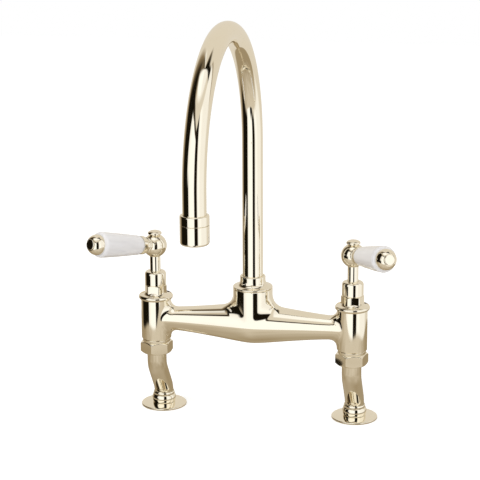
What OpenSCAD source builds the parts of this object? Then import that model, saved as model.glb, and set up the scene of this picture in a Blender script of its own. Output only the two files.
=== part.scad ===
// Two-hole bridge mixer tap with a swivel swan-neck spout and porcelain levers.
// X runs along the bridge, -Y towards the user and +Z up. The origin lies on the
// worktop's upper face, midway between the two holes. All lengths are in millimetres.

/* [Layout] */
// Distance between the two holes in the worktop
hole_centres = 200; // [185:1:230]
// How far the bridge stands in front of the holes
body_forward = 24.7; // [20:0.1:30]
// Thickness of the worktop held between the foot and the backnut
deck_gap = 30; // [15:1:40]

/* [Cranked legs] */
// Outer radius of a leg
leg_r = 9.75; // [9.5:0.05:10.2]
// Wall of a leg
leg_wall = 2.75; // [2.4:0.05:3.2]
// Height at which the crank meets the straight upper end
crank_top = 57.5; // [54:0.5:60]

/* [Feet] */
// Radius of a foot rose
rose_r = 23.3; // [22:0.1:27]
// Thickness of the rose's rim
rose_rim = 2.6; // [2.4:0.1:3]
// Thickness of the rose's plate at its collar
rose_plate = 3.3; // [3:0.1:3.8]
// Radius of the rounded collar on the rose
rose_collar_r = 11.9; // [11.6:0.1:13]
// Height of the rose with its bead
rose_h = 17.5; // [16.5:0.5:20]
// Thickness of the gasket let into the rose
gasket_t = 1.6; // [1:0.1:1.8]

/* [Tails] */
// Radius of the threaded tail
tail_r = 10.48; // [10.2:0.01:10.8]
// Radius of the waterway in the tail
tail_bore_r = 6.2; // [5:0.1:6.6]
// Length of the free end below the backnut
tail_free = 16; // [12:1:25]
// Radius of the clamp washers
clamp_r = 20; // [18:0.5:24]
// Thickness of the rubber clamp washer
clamp_rubber_t = 3; // [2:0.5:4]
// Thickness of the plate washer
clamp_plate_t = 2; // [1.5:0.5:3]
// Backnut's width across flats
backnut_af = 30; // [27:0.5:34]
// Height of the backnut
backnut_h = 8; // [6:0.5:10]

/* [Union nuts] */
// Union nut's width across flats
nut_af = 29; // [28:0.5:32]
// Height of the lower face of the union nut
nut_z = 65.5; // [64:0.5:67]
// Height of the nut's hexagon
nut_hex_h = 12; // [11:0.5:12.5]
// Radius of the thread between the nut and the barrel
union_r = 12.3; // [12:0.1:12.6]
// Thickness of the union washer
union_washer_t = 2; // [1.5:0.1:2.4]

/* [Bridge body] */
// Radius of a valve barrel
barrel_r = 15; // [14.6:0.1:16]
// Height of the top face of the barrels
barrel_top = 122; // [120:0.5:124]
// Height of the arms' axis
arm_z = 102; // [101:0.1:103]
// Radius of the arms at the middle of the bridge
arm_r_mid = 20.3; // [19.5:0.1:21.5]
// Radius of the arms near the barrels
arm_r_end = 12; // [11.5:0.1:13]
// Radius of the waterway in the arms
arm_bore_r = 5.5; // [4:0.1:5.5]
// Radius of the boss that carries the spout
boss_r = 19.75; // [18.5:0.05:22]
// Height of the seam between the boss and the spout collar
boss_top = 138.5; // [137:0.5:141]
// Radius of the fillet between the boss and the arms
boss_fillet = 13; // [9:0.5:15]

/* [Headworks] */
// Radius of the thread that holds the headwork in the barrel
valve_r = 10.45; // [10.3:0.05:10.6]
// Radius of the bead round the bonnet
bead_r = 17.3; // [16.5:0.1:18.5]
// Height of the bead
bead_h = 4.6; // [4:0.1:5]
// Width across flats of the bonnet's hexagon
bonnet_af = 20.8; // [20.4:0.1:22]
// Radius of the round gland nut
gland_r = 10.7; // [10.4:0.1:11.4]
// Height of the gland nut's straight side
gland_side_h = 10.5; // [9:0.1:11]
// Height of the gland nut's rounded top
gland_dome_h = 4; // [3.2:0.1:5]
// Radius of the spindle where it turns in the bonnet
spindle_r = 6; // [5.8:0.05:6.2]
// Radius of the ceramic discs
disc_r = 8.1; // [7.9:0.05:8.15]
// Thickness of a ceramic disc
disc_t = 3; // [2.6:0.1:3.2]
// Angle that a lever turns from closed to open
lever_turn = 90; // [60:5:100]

/* [Levers] */
// Radius of the ball on the lever hub
ball_r = 12; // [11.6:0.1:12.4]
// Height of the ball's centre
ball_z = 177; // [175:0.5:180]
// Radius of the hub's neck
hub_neck_r = 5.3; // [4.9:0.05:5.4]
// Angle of a closed lever forward of sideways
lever_yaw = 59.2; // [30:0.1:75]
// Angle of a lever above level
lever_rise = 11.4; // [4:0.1:14]
// Distance of the ferrule's rim from the ball's centre
ferrule_end = 22.7; // [21.5:0.1:24]
// Radius of the ferrule's rim
ferrule_r = 9.2; // [9:0.1:9.8]
// Distance of the grip's outer end from the ball's centre
grip_end = 77; // [68:0.5:90]
// Largest radius of the porcelain grip
grip_r = 12.5; // [11.8:0.1:13.4]
// Radius of the grip inside the ferrule
grip_neck_r = 8.3; // [7.8:0.1:8.4]
// Radius of the ball-shaped end cap
end_cap_r = 10.1; // [9.6:0.1:10.6]
// Radius of the tip knob let into the cap
tip_r = 5.3; // [4.8:0.1:5.6]
// Thickness of the tip knob
tip_h = 1.3; // [1.1:0.1:1.8]
// Radius of the rod through the grip
rod_r = 2.5; // [2.2:0.1:2.7]
// Radius of the button on the hub
button_r = 6.6; // [6.2:0.1:7.2]

/* [Spout] */
// Outer radius of the spout tube
tube_r = 10.15; // [9.8:0.05:10.2]
// Wall of the spout tube
tube_wall = 1.2; // [1:0.05:1.5]
// Height at which the bend starts
bend_z = 286.7; // [270:0.5:310]
// Radius of the bend, measured on the tube's axis
bend_r = 118; // [95:0.5:130]
// Radius of the spout collar's neck
collar_neck_r = 12.7; // [12.2:0.1:13.4]
// Height of the spout collar above its seam
collar_h = 13; // [12:0.5:15]
// Radius of the spigot that turns in the boss
spigot_r = 10.42; // [10.2:0.01:10.42]

/* [Outlet] */
// Radius of the aerator housing
outlet_r = 12.5; // [12.2:0.1:13.5]
// Length of the collar on the end of the tube
outlet_collar_h = 8.4; // [7.5:0.1:10]
// Height of the aerator housing
aerator_h = 16.8; // [16:0.1:19]
// Height of the outlet's lower face above the worktop
outlet_z = 243.6; // [225:0.1:255]
// Number of holes in each ring of the aerator
aerator_holes = 12; // [6:1:16]

/* [Hidden] */
$fn = 96;
thread_fit = 0.05;
run_fit = 0.08;
seat_fit = 0.1;
disc_gap = 0.04;
groove_fit = 0.02;
chamfer_in = 0.15;
chamfer_slope = 0.7;
flat_clear = 1;
cut = 1;

deck_x = hole_centres / 2;
bridge_y = -body_forward;
leg_bore_r = leg_r - leg_wall;

// Legs: two equal arcs carry the leg back from the bridge to its hole
crank_low = rose_h + 0.5;
crank_rise = crank_top - crank_low;
crank_angle = 2 * atan(body_forward / crank_rise);
crank_radius = crank_rise / (2 * sin(crank_angle));
crank_lap = 0.3;
crank_step = 0.01;
leg_foot_z = 6;
leg_thread_r = leg_r - 1.4;
leg_thread_h = 10;
leg_flange_r = union_r - 0.3;
leg_flange_t = 2;

// Tails, washers and backnuts below the worktop
clamp_z = -deck_gap;
plate_z = clamp_z - clamp_rubber_t;
backnut_top = plate_z - clamp_plate_t;
backnut_low = backnut_top - backnut_h;
undercut_top = backnut_low - 1;
undercut_h = 2;
undercut_depth = 0.8;
tail_low = undercut_top - undercut_h - tail_free;
washer_bore_r = tail_r + 0.3;
gasket_in_r = tail_r + 3.5;
gasket_out_r = rose_r - 2.5;

// Union nuts: the lip carries the leg's flange, the flange the washer, the washer the barrel
nut_lip = 2.5;
leg_top = nut_z + nut_lip + leg_flange_t;
spigot_low = leg_top + union_washer_t;
nut_collar_h = 3;
nut_collar_r = nut_af / 2 - 0.5;
nut_top = nut_z + nut_hex_h + nut_collar_h;
barrel_low = nut_top + 0.5;

// Valve chamber in each barrel
valve_seat = 90;
seat_h = 4;
chamber_r = valve_r + thread_fit;
seat_bore_r = 6.4;
fixed_disc_z = valve_seat + 4;
moving_disc_z = fixed_disc_z + disc_t + disc_gap;
disc_top = moving_disc_z + disc_t;
tang_depth = 1.2;
tang_w = 2.4;
tang_in = 2.8;
tang_out = 6.2;
plate_low = 106;
plate_h = 3.8;
cartridge_r = disc_r + 0.2;
cartridge_top = plate_low + plate_h + seat_fit;
stop_core_r = cartridge_r - 1.8;
stop_lug = 180;
stop_play = 2;
bonnet_low = valve_seat + 1;
seal_t = 1.6;
seal_out_r = valve_r + 2.6;
skirt_z = barrel_top + bead_h;
bonnet_hex_h = 10.2;
bonnet_top = skirt_z + bonnet_hex_h;
gland_thread_r = 8;
gland_thread_h = 6.8;
gland_dome_z = bonnet_top + gland_side_h;
gland_edge = 2.3;
gland_top = gland_dome_z + gland_dome_h;
spindle_step = bonnet_top + 1.2;
gland_bore_r = hub_neck_r + 0.1;
port_r = 2;
port_pcr = 4.2;
oring_wire = 0.7;
spindle_oring_z = [plate_low + 10, plate_low + 15];

// Lever hub and its screw
hub_low = gland_top - 2.8;
spline_r = 3.9;
spline_top = ball_z - 5;
screw_r = 2.5;
screw_head_r = 4.4;
screw_head_h = 3;
screw_head_z = ball_z + 2;
screw_low = spline_top - 7;
ball_flat = ball_z + ball_r - 1.2;
button_waist_r = 4.9;
button_waist_h = 1.6;
button_h = 3.8;
hub_ring_z = ball_r + 0.2;
hub_ring_r = 8.1;
hub_waist_r = 6.7;
cup_depth = 3;
rod_start = 7.5;

// Ball-shaped cap on the grip, with a seat turned in its end for the knob
cap_start = grip_end;
cap_centre = cap_start + 1.5;
tip_seat_r = tip_r + 0.3;
tip_rim_z = cap_centre + sqrt(end_cap_r * end_cap_r - tip_seat_r * tip_seat_r);
tip_seat_z = tip_rim_z - 0.5;
rod_end = cap_start + 5;

// Spout seat in the boss
seat_floor = 88;
spout_step = 119;
bearing_t = 1.9;
flange_z = spout_step + bearing_t + seat_fit;
flange_t = 3.5;
tube_low = flange_z + flange_t;
upper_bearing_z = tube_low + seat_fit;
collar_low = upper_bearing_z + bearing_t;
bearing_w = 5.1;
socket_r = spigot_r + bearing_w;
spigot_bore_r = spigot_r + run_fit;
spigot_end = arm_z + arm_bore_r + 1;
spigot_way_r = tube_r - tube_wall - 2.4;
plug_r = tube_r - tube_wall - thread_fit;
plug_h = 15;
plug_top = tube_low + plug_h;
spigot_oring_z = [111.6, 116];
spigot_oring_wire = 0.9;

// Outlet
spout_y = bridge_y - 2 * bend_r;
outlet_seam = outlet_z + aerator_h + 0.3;
outlet_top = outlet_seam + outlet_collar_h;
tube_end = outlet_seam + 1.5;
outlet_thread_r = outlet_r - 1.25;
outlet_thread_h = 6.9;
insert_r = outlet_r - 2.3;
insert_z = outlet_z + 2.9;
outlet_washer_t = 1.5;
outlet_washer_in_r = 7.4;
aerator_rings = [2.8, 5.6];
aerator_hole_r = 0.55;
insert_top = outlet_seam - outlet_thread_h - outlet_washer_t;

brass = "#d9c7a0";
raw_brass = "#b8964a";
porcelain = "#f4f1f0";
rubber = "#2b2b2b";
ceramic = "#e8e6e0";
steel = "#b9bcc0";
nylon = "#e4e0d2";

left = -1;
right = 1;
// Direction that each nut's flat faces, from straight ahead towards +X
left_nut_turn = 25;
right_nut_turn = 17;
left_bonnet_turn = 0;
right_bonnet_turn = 13;

// Points of an arc about c from angle a0 to a1
function arc(c, r, a0, a1, steps = 8) =
  [for (i = [0:steps]) let (a = a0 + (a1 - a0) * i / steps) c + r * [cos(a), sin(a)]];

// Radius of the bridge's arms at a distance x from its middle
arm_end_x = deck_x - barrel_r - 5;
arm_round = 0.12;
arm_hollow = 1.3;
function arm_share(u) =
  pow((sqrt(1 + arm_round * arm_round) - sqrt(u * u + arm_round * arm_round))
  / (sqrt(1 + arm_round * arm_round) - arm_round), arm_hollow);
function arm_radius(x) = arm_r_end + (arm_r_mid - arm_r_end) * arm_share(abs(x) / arm_end_x);

// Places a child over the hole on one side, or on the axis of that side's valve
module at_hole(side) translate([side * deck_x, 0, 0]) children();
module at_valve(side) translate([side * deck_x, bridge_y, 0]) children();

// Draws a child as made for the right side, or its mirror image for the left
module handed(side) {
  if (side < 0) mirror([1, 0, 0]) children();
  else children();
}

// Points +Z of a child along the lever of the right side, from the ball's centre
module along_lever() {
  translate([0, 0, ball_z])
    rotate([0, 0, -lever_yaw])
      rotate([0, 90 - lever_rise, 0]) children();
}

module ring(inner, outer, height, z = 0) {
  translate([0, 0, z])
    difference() {
      cylinder(r = outer, h = height);
      translate([0, 0, -cut]) cylinder(r = inner, h = height + 2 * cut);
    }
}

module bore(r, z0, z1) translate([0, 0, z0]) cylinder(r = r, h = z1 - z0);

module oring(groove_r, wire, z) {
  translate([0, 0, z])
    rotate_extrude() translate([groove_r + groove_fit + wire, 0]) circle(r = wire, $fn = 32);
}

// Hexagon of a given width across flats, with its rims turned off at a slope that starts
// just inside the flats and runs out past the corners
module hexagon(af, height, z, turn, chamfer_low = true) {
  corner = af / sqrt(3);
  inner = af / 2 - chamfer_in;
  outer = corner + cut;
  drop = (outer - inner) * chamfer_slope;
  translate([0, 0, z])
    intersection() {
      rotate([0, 0, turn]) cylinder(r = corner, h = height, $fn = 6);
      rotate_extrude() polygon(concat(
        [[0, 0]],
        chamfer_low ? [[inner, 0], [outer, drop]] : [[outer, 0]],
        [[outer, height - drop], [inner, height], [0, height]]));
    }
}

module bridge_arms() {
  steps = 14;
  half = [for (i = [0:steps]) arm_end_x * i / steps];
  outline = concat(
    [[0, -deck_x], [arm_r_end + 1.2, -deck_x], [arm_r_end + 1.2, -arm_end_x - 5]],
    [for (i = [steps:-1:1]) [arm_radius(half[i]), -half[i]]],
    [for (i = [0:steps]) [arm_radius(half[i]), half[i]]],
    [[arm_r_end + 1.2, arm_end_x + 5], [arm_r_end + 1.2, deck_x], [0, deck_x]]);
  translate([0, bridge_y, arm_z])
    rotate([0, 90, 0]) rotate_extrude() polygon(outline);
}

// Saddle fillet that runs from the boss out along the arms
module boss_saddle() {
  low = arm_z + arm_radius(boss_r + boss_fillet) - 1;
  base = arm_z;
  width = 16;
  translate([0, bridge_y, 0])
    intersection() {
      rotate_extrude() polygon(concat(
        [[0, base], [boss_r + boss_fillet, base]],
        arc([boss_r + boss_fillet, low + boss_fillet], boss_fillet, 270, 180),
        [[0, low + boss_fillet]]));
      translate([-boss_r - boss_fillet, -width / 2, base])
        cube([2 * (boss_r + boss_fillet), width, boss_top - base]);
    }
}

module bridge_body() color(brass) difference() {
  union() {
    bridge_arms();
    boss_saddle();
    translate([0, bridge_y, 0]) bore(boss_r, arm_z, boss_top);
    for (side = [left, right]) at_valve(side) {
      bore(barrel_r, barrel_low, barrel_top);
      bore(union_r, spigot_low, barrel_low + cut);
    }
  }
  translate([-deck_x, bridge_y, arm_z])
    rotate([0, 90, 0]) cylinder(r = arm_bore_r, h = hole_centres);
  translate([0, bridge_y, 0]) {
    bore(spigot_bore_r, seat_floor, boss_top);
    bore(socket_r, spout_step, boss_top + cut);
  }
  for (side = [left, right]) at_valve(side) {
    bore(leg_bore_r, spigot_low - cut, valve_seat - seat_h);
    bore(seat_bore_r, valve_seat - seat_h - cut, valve_seat + cut);
    bore(chamber_r, valve_seat, barrel_top + cut);
    bore(seal_out_r + thread_fit, barrel_top - seal_t, barrel_top + cut);
  }
}

module spout_collar() color(brass) translate([0, bridge_y, 0]) {
  ring_r = boss_r;
  ring_h = 3.5;
  top = boss_top + collar_h;
  flare = ring_r - 1 - collar_neck_r;
  inner = tube_r + 0.15;
  rotate_extrude() polygon(concat(
    [[inner, collar_low], [socket_r - thread_fit, collar_low],
     [socket_r - thread_fit, boss_top], [ring_r - 0.6, boss_top]],
    arc([ring_r - 1, boss_top + 1.4], 1, -60, 90, 6),
    arc([ring_r - 1, boss_top + ring_h - 1.1 + flare], flare, 270, 180),
    arc([collar_neck_r - 1.2, top - 1.2], 1.2, 0, 90, 5),
    [[inner, top]]));
}

module spout_bearing_lower() color(nylon) translate([0, bridge_y, 0])
  ring(spigot_r + 0.4, socket_r - seat_fit, bearing_t, spout_step);

module spout_bearing_upper() color(nylon) translate([0, bridge_y, 0])
  ring(tube_r + 0.2, socket_r - seat_fit, bearing_t, upper_bearing_z);

module spout_spigot() color(raw_brass) translate([0, bridge_y, 0]) difference() {
  union() {
    bore(spigot_r, spigot_end, flange_z + cut);
    bore(socket_r - 1.9, flange_z, tube_low);
    bore(plug_r, tube_low - cut, plug_top);
  }
  bore(spigot_way_r, spigot_end - cut, plug_top + cut);
  for (z = spigot_oring_z)
    ring(spigot_r - 2 * spigot_oring_wire, spigot_r + cut, 2.4 * spigot_oring_wire,
         z - 1.2 * spigot_oring_wire);
}

module spigot_orings() color(rubber) translate([0, bridge_y, 0])
  for (z = spigot_oring_z) oring(spigot_r - 2 * spigot_oring_wire, spigot_oring_wire, z);

module spout_path(r) {
  translate([0, bridge_y, tube_low]) cylinder(r = r, h = bend_z - tube_low);
  translate([0, bridge_y - bend_r, bend_z])
    rotate([0, -90, 0]) rotate([0, 0, -90])
      rotate_extrude(angle = 180) translate([bend_r, 0]) circle(r = r);
  translate([0, spout_y, tube_end]) cylinder(r = r, h = bend_z - tube_end);
}

module spout_tube() color(brass) difference() {
  spout_path(tube_r);
  spout_path(tube_r - tube_wall);
  translate([0, bridge_y, 0]) bore(tube_r - tube_wall, tube_low - cut, tube_low + cut);
  translate([0, spout_y, 0]) bore(tube_r - tube_wall, tube_end - cut, tube_end + cut);
}

module outlet_collar() color(brass) translate([0, spout_y, 0]) {
  way = tube_r - tube_wall;
  rotate_extrude() polygon(concat(
    [[way, outlet_seam - outlet_thread_h], [outlet_thread_r, outlet_seam - outlet_thread_h],
     [outlet_thread_r, outlet_seam], [outlet_r - 0.4, outlet_seam]],
    [[outlet_r, outlet_seam + 0.4]],
    arc([outlet_r - 1.4, outlet_top - 1.4], 1.4, 0, 90, 5),
    [[tube_r + thread_fit, outlet_top], [tube_r + thread_fit, tube_end], [way, tube_end]]));
}

module aerator_housing() color(brass) translate([0, spout_y, 0]) {
  round_r = 2.6;
  lip_r = insert_r - 1.4;
  rotate_extrude() polygon(concat(
    [[lip_r, outlet_z], [outlet_r - round_r, outlet_z]],
    arc([outlet_r - round_r, outlet_z + round_r], round_r, 270, 360, 6),
    [[outlet_r, outlet_z + aerator_h - 0.4], [outlet_r - 0.4, outlet_z + aerator_h],
     [outlet_thread_r + thread_fit, outlet_z + aerator_h],
     [outlet_thread_r + thread_fit, insert_top], [insert_r, insert_top],
     [insert_r, insert_z], [lip_r, insert_z]]));
}

module aerator_insert() color(nylon) translate([0, spout_y, 0]) difference() {
  bore(insert_r - seat_fit, insert_z, insert_top);
  for (ring_r = aerator_rings, i = [0:aerator_holes - 1])
    rotate([0, 0, 360 * i / aerator_holes])
      translate([ring_r, 0, 0]) bore(aerator_hole_r, insert_z - cut, insert_top + cut);
}

module aerator_washer() color(rubber) translate([0, spout_y, 0])
  ring(outlet_washer_in_r, outlet_thread_r - seat_fit, outlet_washer_t, insert_top);

// Two arcs with their centres on opposite sides make the crank. The upper one is a hair
// wider and laps over the lower one, so that the two join into one piece.
module leg_path(r, low, high) {
  translate([0, 0, low]) cylinder(r = r, h = crank_low - low);
  translate([0, -crank_radius, crank_low])
    rotate([0, -90, 0]) rotate([0, 0, 90])
      rotate_extrude(angle = -crank_angle)
        translate([crank_radius, 0]) circle(r = r);
  translate([0, bridge_y + crank_radius, crank_top])
    rotate([0, -90, 0]) rotate([0, 0, -90])
      rotate_extrude(angle = -crank_angle - crank_lap)
        translate([crank_radius, 0]) circle(r = r + crank_step);
  translate([0, bridge_y, crank_top]) cylinder(r = r, h = high - crank_top);
}

module leg(side) color(brass) at_hole(side) difference() {
  union() {
    leg_path(leg_r, leg_foot_z, leg_top);
    translate([0, bridge_y, 0]) bore(leg_flange_r, leg_top - leg_flange_t, leg_top);
  }
  leg_path(leg_bore_r, leg_foot_z - cut, leg_top + cut);
  bore(leg_thread_r + thread_fit, leg_foot_z - cut, leg_foot_z + leg_thread_h + 0.5);
}

module foot_rose(side) color(brass) at_hole(side) difference() {
  bead = 2.1;
  bead_out = leg_r + 1.1;
  waist_r = leg_r + 0.6;
  waist_z = rose_h - 2 * bead + 0.2;
  collar_half = (waist_z - rose_plate) / 2;
  bulge = rose_collar_r - waist_r;
  rotate_extrude() polygon(concat(
    [[0, 0], [rose_r - 0.5, 0], [rose_r, 0.6], [rose_r, rose_rim - 0.6],
     [rose_r - 0.7, rose_rim], [waist_r + bulge * cos(65), rose_plate]],
    // tall rounded collar, then the bead where the leg enters
    [for (i = [0:9]) let (a = -65 + 145 * i / 9)
      [waist_r + bulge * cos(a), rose_plate + collar_half * (1 + sin(a))]],
    [for (i = [0:7]) let (a = -55 + 145 * i / 7)
      [waist_r + (bead_out - waist_r) * cos(a), rose_h - bead + bead * sin(a)]],
    [[0, rose_h]]));
  bore(tail_r + thread_fit, -cut, leg_foot_z);
  bore(leg_r + seat_fit, leg_foot_z - cut, rose_h + cut);
  ring(gasket_in_r - seat_fit, gasket_out_r + seat_fit, gasket_t + cut, -cut);
}

module foot_gasket(side) color(rubber) at_hole(side)
  ring(gasket_in_r, gasket_out_r, gasket_t);

module tail(side) color(raw_brass) at_hole(side) difference() {
  union() {
    bore(leg_thread_r, leg_foot_z - cut, leg_foot_z + leg_thread_h);
    bore(tail_r, tail_low, leg_foot_z);
  }
  bore(tail_bore_r, tail_low - cut, leg_foot_z + leg_thread_h + cut);
  ring(tail_r - undercut_depth, tail_r + cut, undercut_h, undercut_top - undercut_h);
}

module clamp_washer(side) color(rubber) at_hole(side)
  ring(washer_bore_r, clamp_r, clamp_rubber_t, plate_z);

module plate_washer(side) color(steel) at_hole(side)
  ring(washer_bore_r, clamp_r, clamp_plate_t, backnut_top);

module backnut(side) color(raw_brass) at_hole(side) difference() {
  hexagon(backnut_af, backnut_h, backnut_low, 0);
  bore(tail_r + thread_fit, backnut_low - cut, backnut_top + cut);
}

module union_nut(side) color(brass) at_valve(side) difference() {
  union() {
    hexagon(nut_af, nut_hex_h, nut_z, side < 0 ? left_nut_turn : right_nut_turn);
    bore(nut_collar_r, nut_z + nut_hex_h - cut, nut_top);
  }
  bore(leg_r + seat_fit, nut_z - cut, nut_z + nut_lip + cut);
  bore(union_r + thread_fit, nut_z + nut_lip, nut_top + cut);
}

module union_washer(side) color(rubber) at_valve(side)
  ring(leg_bore_r + 0.2, leg_flange_r, union_washer_t, leg_top);

module stop_sector(from, span, inner, outer, z0, z1) {
  rotate([0, 0, from])
    rotate_extrude(angle = span)
      translate([inner, z0]) square([outer - inner, z1 - z0]);
}

// The block between the ends of the lug's travel stops the spindle
module bonnet(side) color(brass) at_valve(side) {
  block = 360 - stop_lug - lever_turn - 2 * stop_play;
  flare = bead_r - 1 - bonnet_af / 2 + flat_clear;
  window = 7;
  difference() {
    union() {
      bore(valve_r, bonnet_low, barrel_top + cut);
      rotate_extrude() polygon(concat(
        [[0, barrel_top], [bead_r - bead_h / 2, barrel_top]],
        arc([bead_r - bead_h / 2, barrel_top + bead_h / 2], bead_h / 2, -90, 60, 8),
        arc([bead_r - 1, skirt_z - 0.6 + flare], flare, 270, 200),
        [[0, skirt_z + flare]]));
      hexagon(bonnet_af, bonnet_top - barrel_top - cut, barrel_top + cut,
              side < 0 ? left_bonnet_turn : right_bonnet_turn, false);
    }
    bore(cartridge_r, bonnet_low - cut, cartridge_top);
    bore(spindle_r + thread_fit, bonnet_low, bonnet_top + cut);
    bore(gland_thread_r + thread_fit, bonnet_top - gland_thread_h, bonnet_top + cut);
    for (turn = [0, 90]) rotate([0, 0, turn])
      translate([-valve_r - cut, -window / 2, disc_top + seat_fit])
        cube([2 * (valve_r + cut), window, plate_low - disc_top - 2 * seat_fit]);
  }
  handed(side)
    stop_sector(stop_lug + lever_turn + stop_play, block, stop_core_r + seat_fit,
                cartridge_r + 0.5, plate_low, cartridge_top + 0.2);
}

module bonnet_seal(side) color(rubber) at_valve(side)
  ring(valve_r + seat_fit, seal_out_r, seal_t, barrel_top - seal_t);

module gland_nut(side) color(brass) at_valve(side) difference() {
  union() {
    bore(gland_thread_r, bonnet_top - gland_thread_h, bonnet_top + cut);
    rotate_extrude() polygon(concat(
      [[0, bonnet_top], [gland_r - 0.3, bonnet_top], [gland_r, bonnet_top + 0.3]],
      [for (i = [0:6]) let (a = 90 * i / 6)
        [gland_r - gland_edge + gland_edge * cos(a),
         gland_dome_z + (gland_dome_h - 0.6) * sin(a)]],
      [[gland_bore_r - 0.5, gland_top], [0, gland_top]]));
  }
  bore(spindle_r + thread_fit, bonnet_top - gland_thread_h - cut, spindle_step + seat_fit);
  bore(gland_bore_r, bonnet_top, gland_top + cut);
}

module seat_seal(side) color(rubber) at_valve(side)
  ring(seat_bore_r, cartridge_r - 0.1, fixed_disc_z - valve_seat, valve_seat);

// A closed valve has the two discs' ports apart, and a full turn of the lever lines them up
module disc_ports(turn, z) {
  rotate([0, 0, turn]) for (x = [-port_pcr, port_pcr])
    translate([x, 0, z - cut]) cylinder(r = port_r, h = disc_t + 2 * cut);
}

module fixed_disc(side) color(ceramic) at_valve(side) difference() {
  bore(disc_r, fixed_disc_z, fixed_disc_z + disc_t);
  disc_ports(0, fixed_disc_z);
}

module tangs(play, z0, z1) {
  wide = tang_w + 2 * play;
  long = tang_out - tang_in + 2 * play;
  for (y = [tang_in - play, -tang_out - play])
    translate([-wide / 2, y, z0]) cube([wide, long, z1 - z0]);
}

module moving_disc(side) color(ceramic) at_valve(side) handed(side) difference() {
  bore(disc_r, moving_disc_z, disc_top);
  disc_ports(-lever_turn, moving_disc_z);
  rotate([0, 0, -lever_turn]) tangs(seat_fit, disc_top - tang_depth, disc_top + cut);
}

module spindle(side) color(raw_brass) at_valve(side) handed(side) difference() {
  union() {
    rotate([0, 0, -lever_turn]) tangs(0, disc_top - tang_depth + seat_fit, plate_low + cut);
    bore(stop_core_r, plate_low, plate_low + plate_h);
    stop_sector(0, stop_lug, 0, cartridge_r - 0.2, plate_low, plate_low + plate_h);
    bore(spindle_r, plate_low + cut, spindle_step);
    bore(gland_bore_r - thread_fit, spindle_step - cut, hub_low - 0.2);
    bore(spline_r, hub_low - cut, spline_top);
  }
  bore(screw_r + thread_fit, screw_low - 0.5, spline_top + cut);
  for (z = spindle_oring_z)
    ring(spindle_r - 2 * oring_wire, spindle_r + cut, 2.4 * oring_wire, z - 1.2 * oring_wire);
}

module spindle_orings(side) color(rubber) at_valve(side)
  for (z = spindle_oring_z) oring(spindle_r - 2 * oring_wire, oring_wire, z);

module lever_hub(side) color(brass) at_valve(side) handed(side) difference() {
  bead = 1.3;
  flare_h = 3;
  cup_z = ferrule_end - cup_depth - 1.2;
  union() {
    bore(hub_neck_r, hub_low, ball_z);
    translate([0, 0, ball_z]) sphere(r = ball_r);
    along_lever() rotate_extrude() polygon(concat(
      [[0, 0], [hub_ring_r - bead, hub_ring_z - bead]],
      arc([hub_ring_r - bead, hub_ring_z], bead, -60, 75, 6),
      [for (i = [0:6]) let (a = 90 * i / 6)
        [hub_waist_r + (ferrule_r - hub_waist_r) * sin(a), cup_z - flare_h * cos(a)]],
      [[ferrule_r, ferrule_end], [0, ferrule_end]]));
  }
  bore(spline_r + thread_fit, hub_low - cut, spline_top + 0.1);
  bore(screw_r + 0.2, spline_top, screw_head_z + cut);
  bore(screw_head_r + 0.1, screw_head_z, ball_z + ball_r + cut);
  translate([-ball_r, -ball_r, ball_flat]) cube(2 * ball_r);
  along_lever() {
    bore(grip_neck_r + seat_fit, ferrule_end - cup_depth, ferrule_end + cut);
    bore(rod_r + thread_fit, rod_start, ferrule_end);
  }
}

module hub_screw(side) color(steel) at_valve(side) {
  bore(screw_r, screw_low, screw_head_z + cut);
  bore(screw_head_r, screw_head_z, screw_head_z + screw_head_h);
}

module hub_cap(side) color(brass) at_valve(side) {
  stem_low = screw_head_z + screw_head_h + seat_fit;
  head_z = ball_flat + button_waist_h;
  edge = 0.8;
  rotate_extrude() polygon(concat(
    [[0, stem_low], [screw_head_r, stem_low], [screw_head_r, ball_flat],
     [button_waist_r, ball_flat], [button_waist_r - 0.3, head_z - 0.6]],
    arc([button_r - edge, head_z + edge], edge, -90, 0, 4),
    [for (i = [1:7]) let (a = 90 * i / 7)
      [button_r * cos(a), head_z + edge + (button_h - edge) * sin(a)]]));
}

module grip(side) color(porcelain) at_valve(side) handed(side) along_lever() {
  start = ferrule_end - cup_depth;
  swell_r = grip_neck_r + 1.4;
  swell_h = 4;
  shoulder = 4;
  rim_r = end_cap_r - 0.3;
  from = ferrule_end + swell_h;
  wide_at = grip_end - shoulder;
  rotate_extrude() polygon(concat(
    [[rod_r + 0.4, start], [grip_neck_r, start], [grip_neck_r, ferrule_end]],
    // rounded end at the ferrule
    [for (i = [1:5]) let (a = 90 * i / 5)
      [grip_neck_r + (swell_r - grip_neck_r) * sin(a), from - swell_h * cos(a)]],
    // slow swell towards the outer end
    [for (i = [1:8]) let (t = i / 8)
      [swell_r + (grip_r - swell_r) * (0.6 * t + 0.4 * sin(90 * t)),
       from + (wide_at - from) * t]],
    [for (i = [1:6]) let (a = 90 * i / 6)
      [rim_r + (grip_r - rim_r) * cos(a), wide_at + shoulder * sin(a)]],
    [[rod_r + 0.4, grip_end]]));
}

module grip_rod(side) color(steel) at_valve(side) handed(side) along_lever()
  bore(rod_r, rod_start + 0.3, rod_end);

module end_cap(side) color(brass) at_valve(side) handed(side) along_lever() {
  low = -asin((cap_centre - cap_start) / end_cap_r);
  high = acos(tip_seat_r / end_cap_r);
  rotate_extrude() polygon(concat(
    [[rod_r + thread_fit, cap_start]],
    arc([0, cap_centre], end_cap_r, low, high, 10),
    [[tip_seat_r, tip_seat_z], [rod_r + thread_fit, tip_seat_z]]));
}

module tip_knob(side) color(brass) at_valve(side) handed(side) along_lever() {
  edge = 0.9;
  rotate_extrude() polygon(concat(
    [[0, rod_end + 0.5], [rod_r, rod_end + 0.5], [rod_r, tip_seat_z], [tip_r, tip_seat_z]],
    arc([tip_r - edge, tip_seat_z + tip_h - edge], edge, 0, 90, 5),
    [[0, tip_seat_z + tip_h]]));
}

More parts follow.
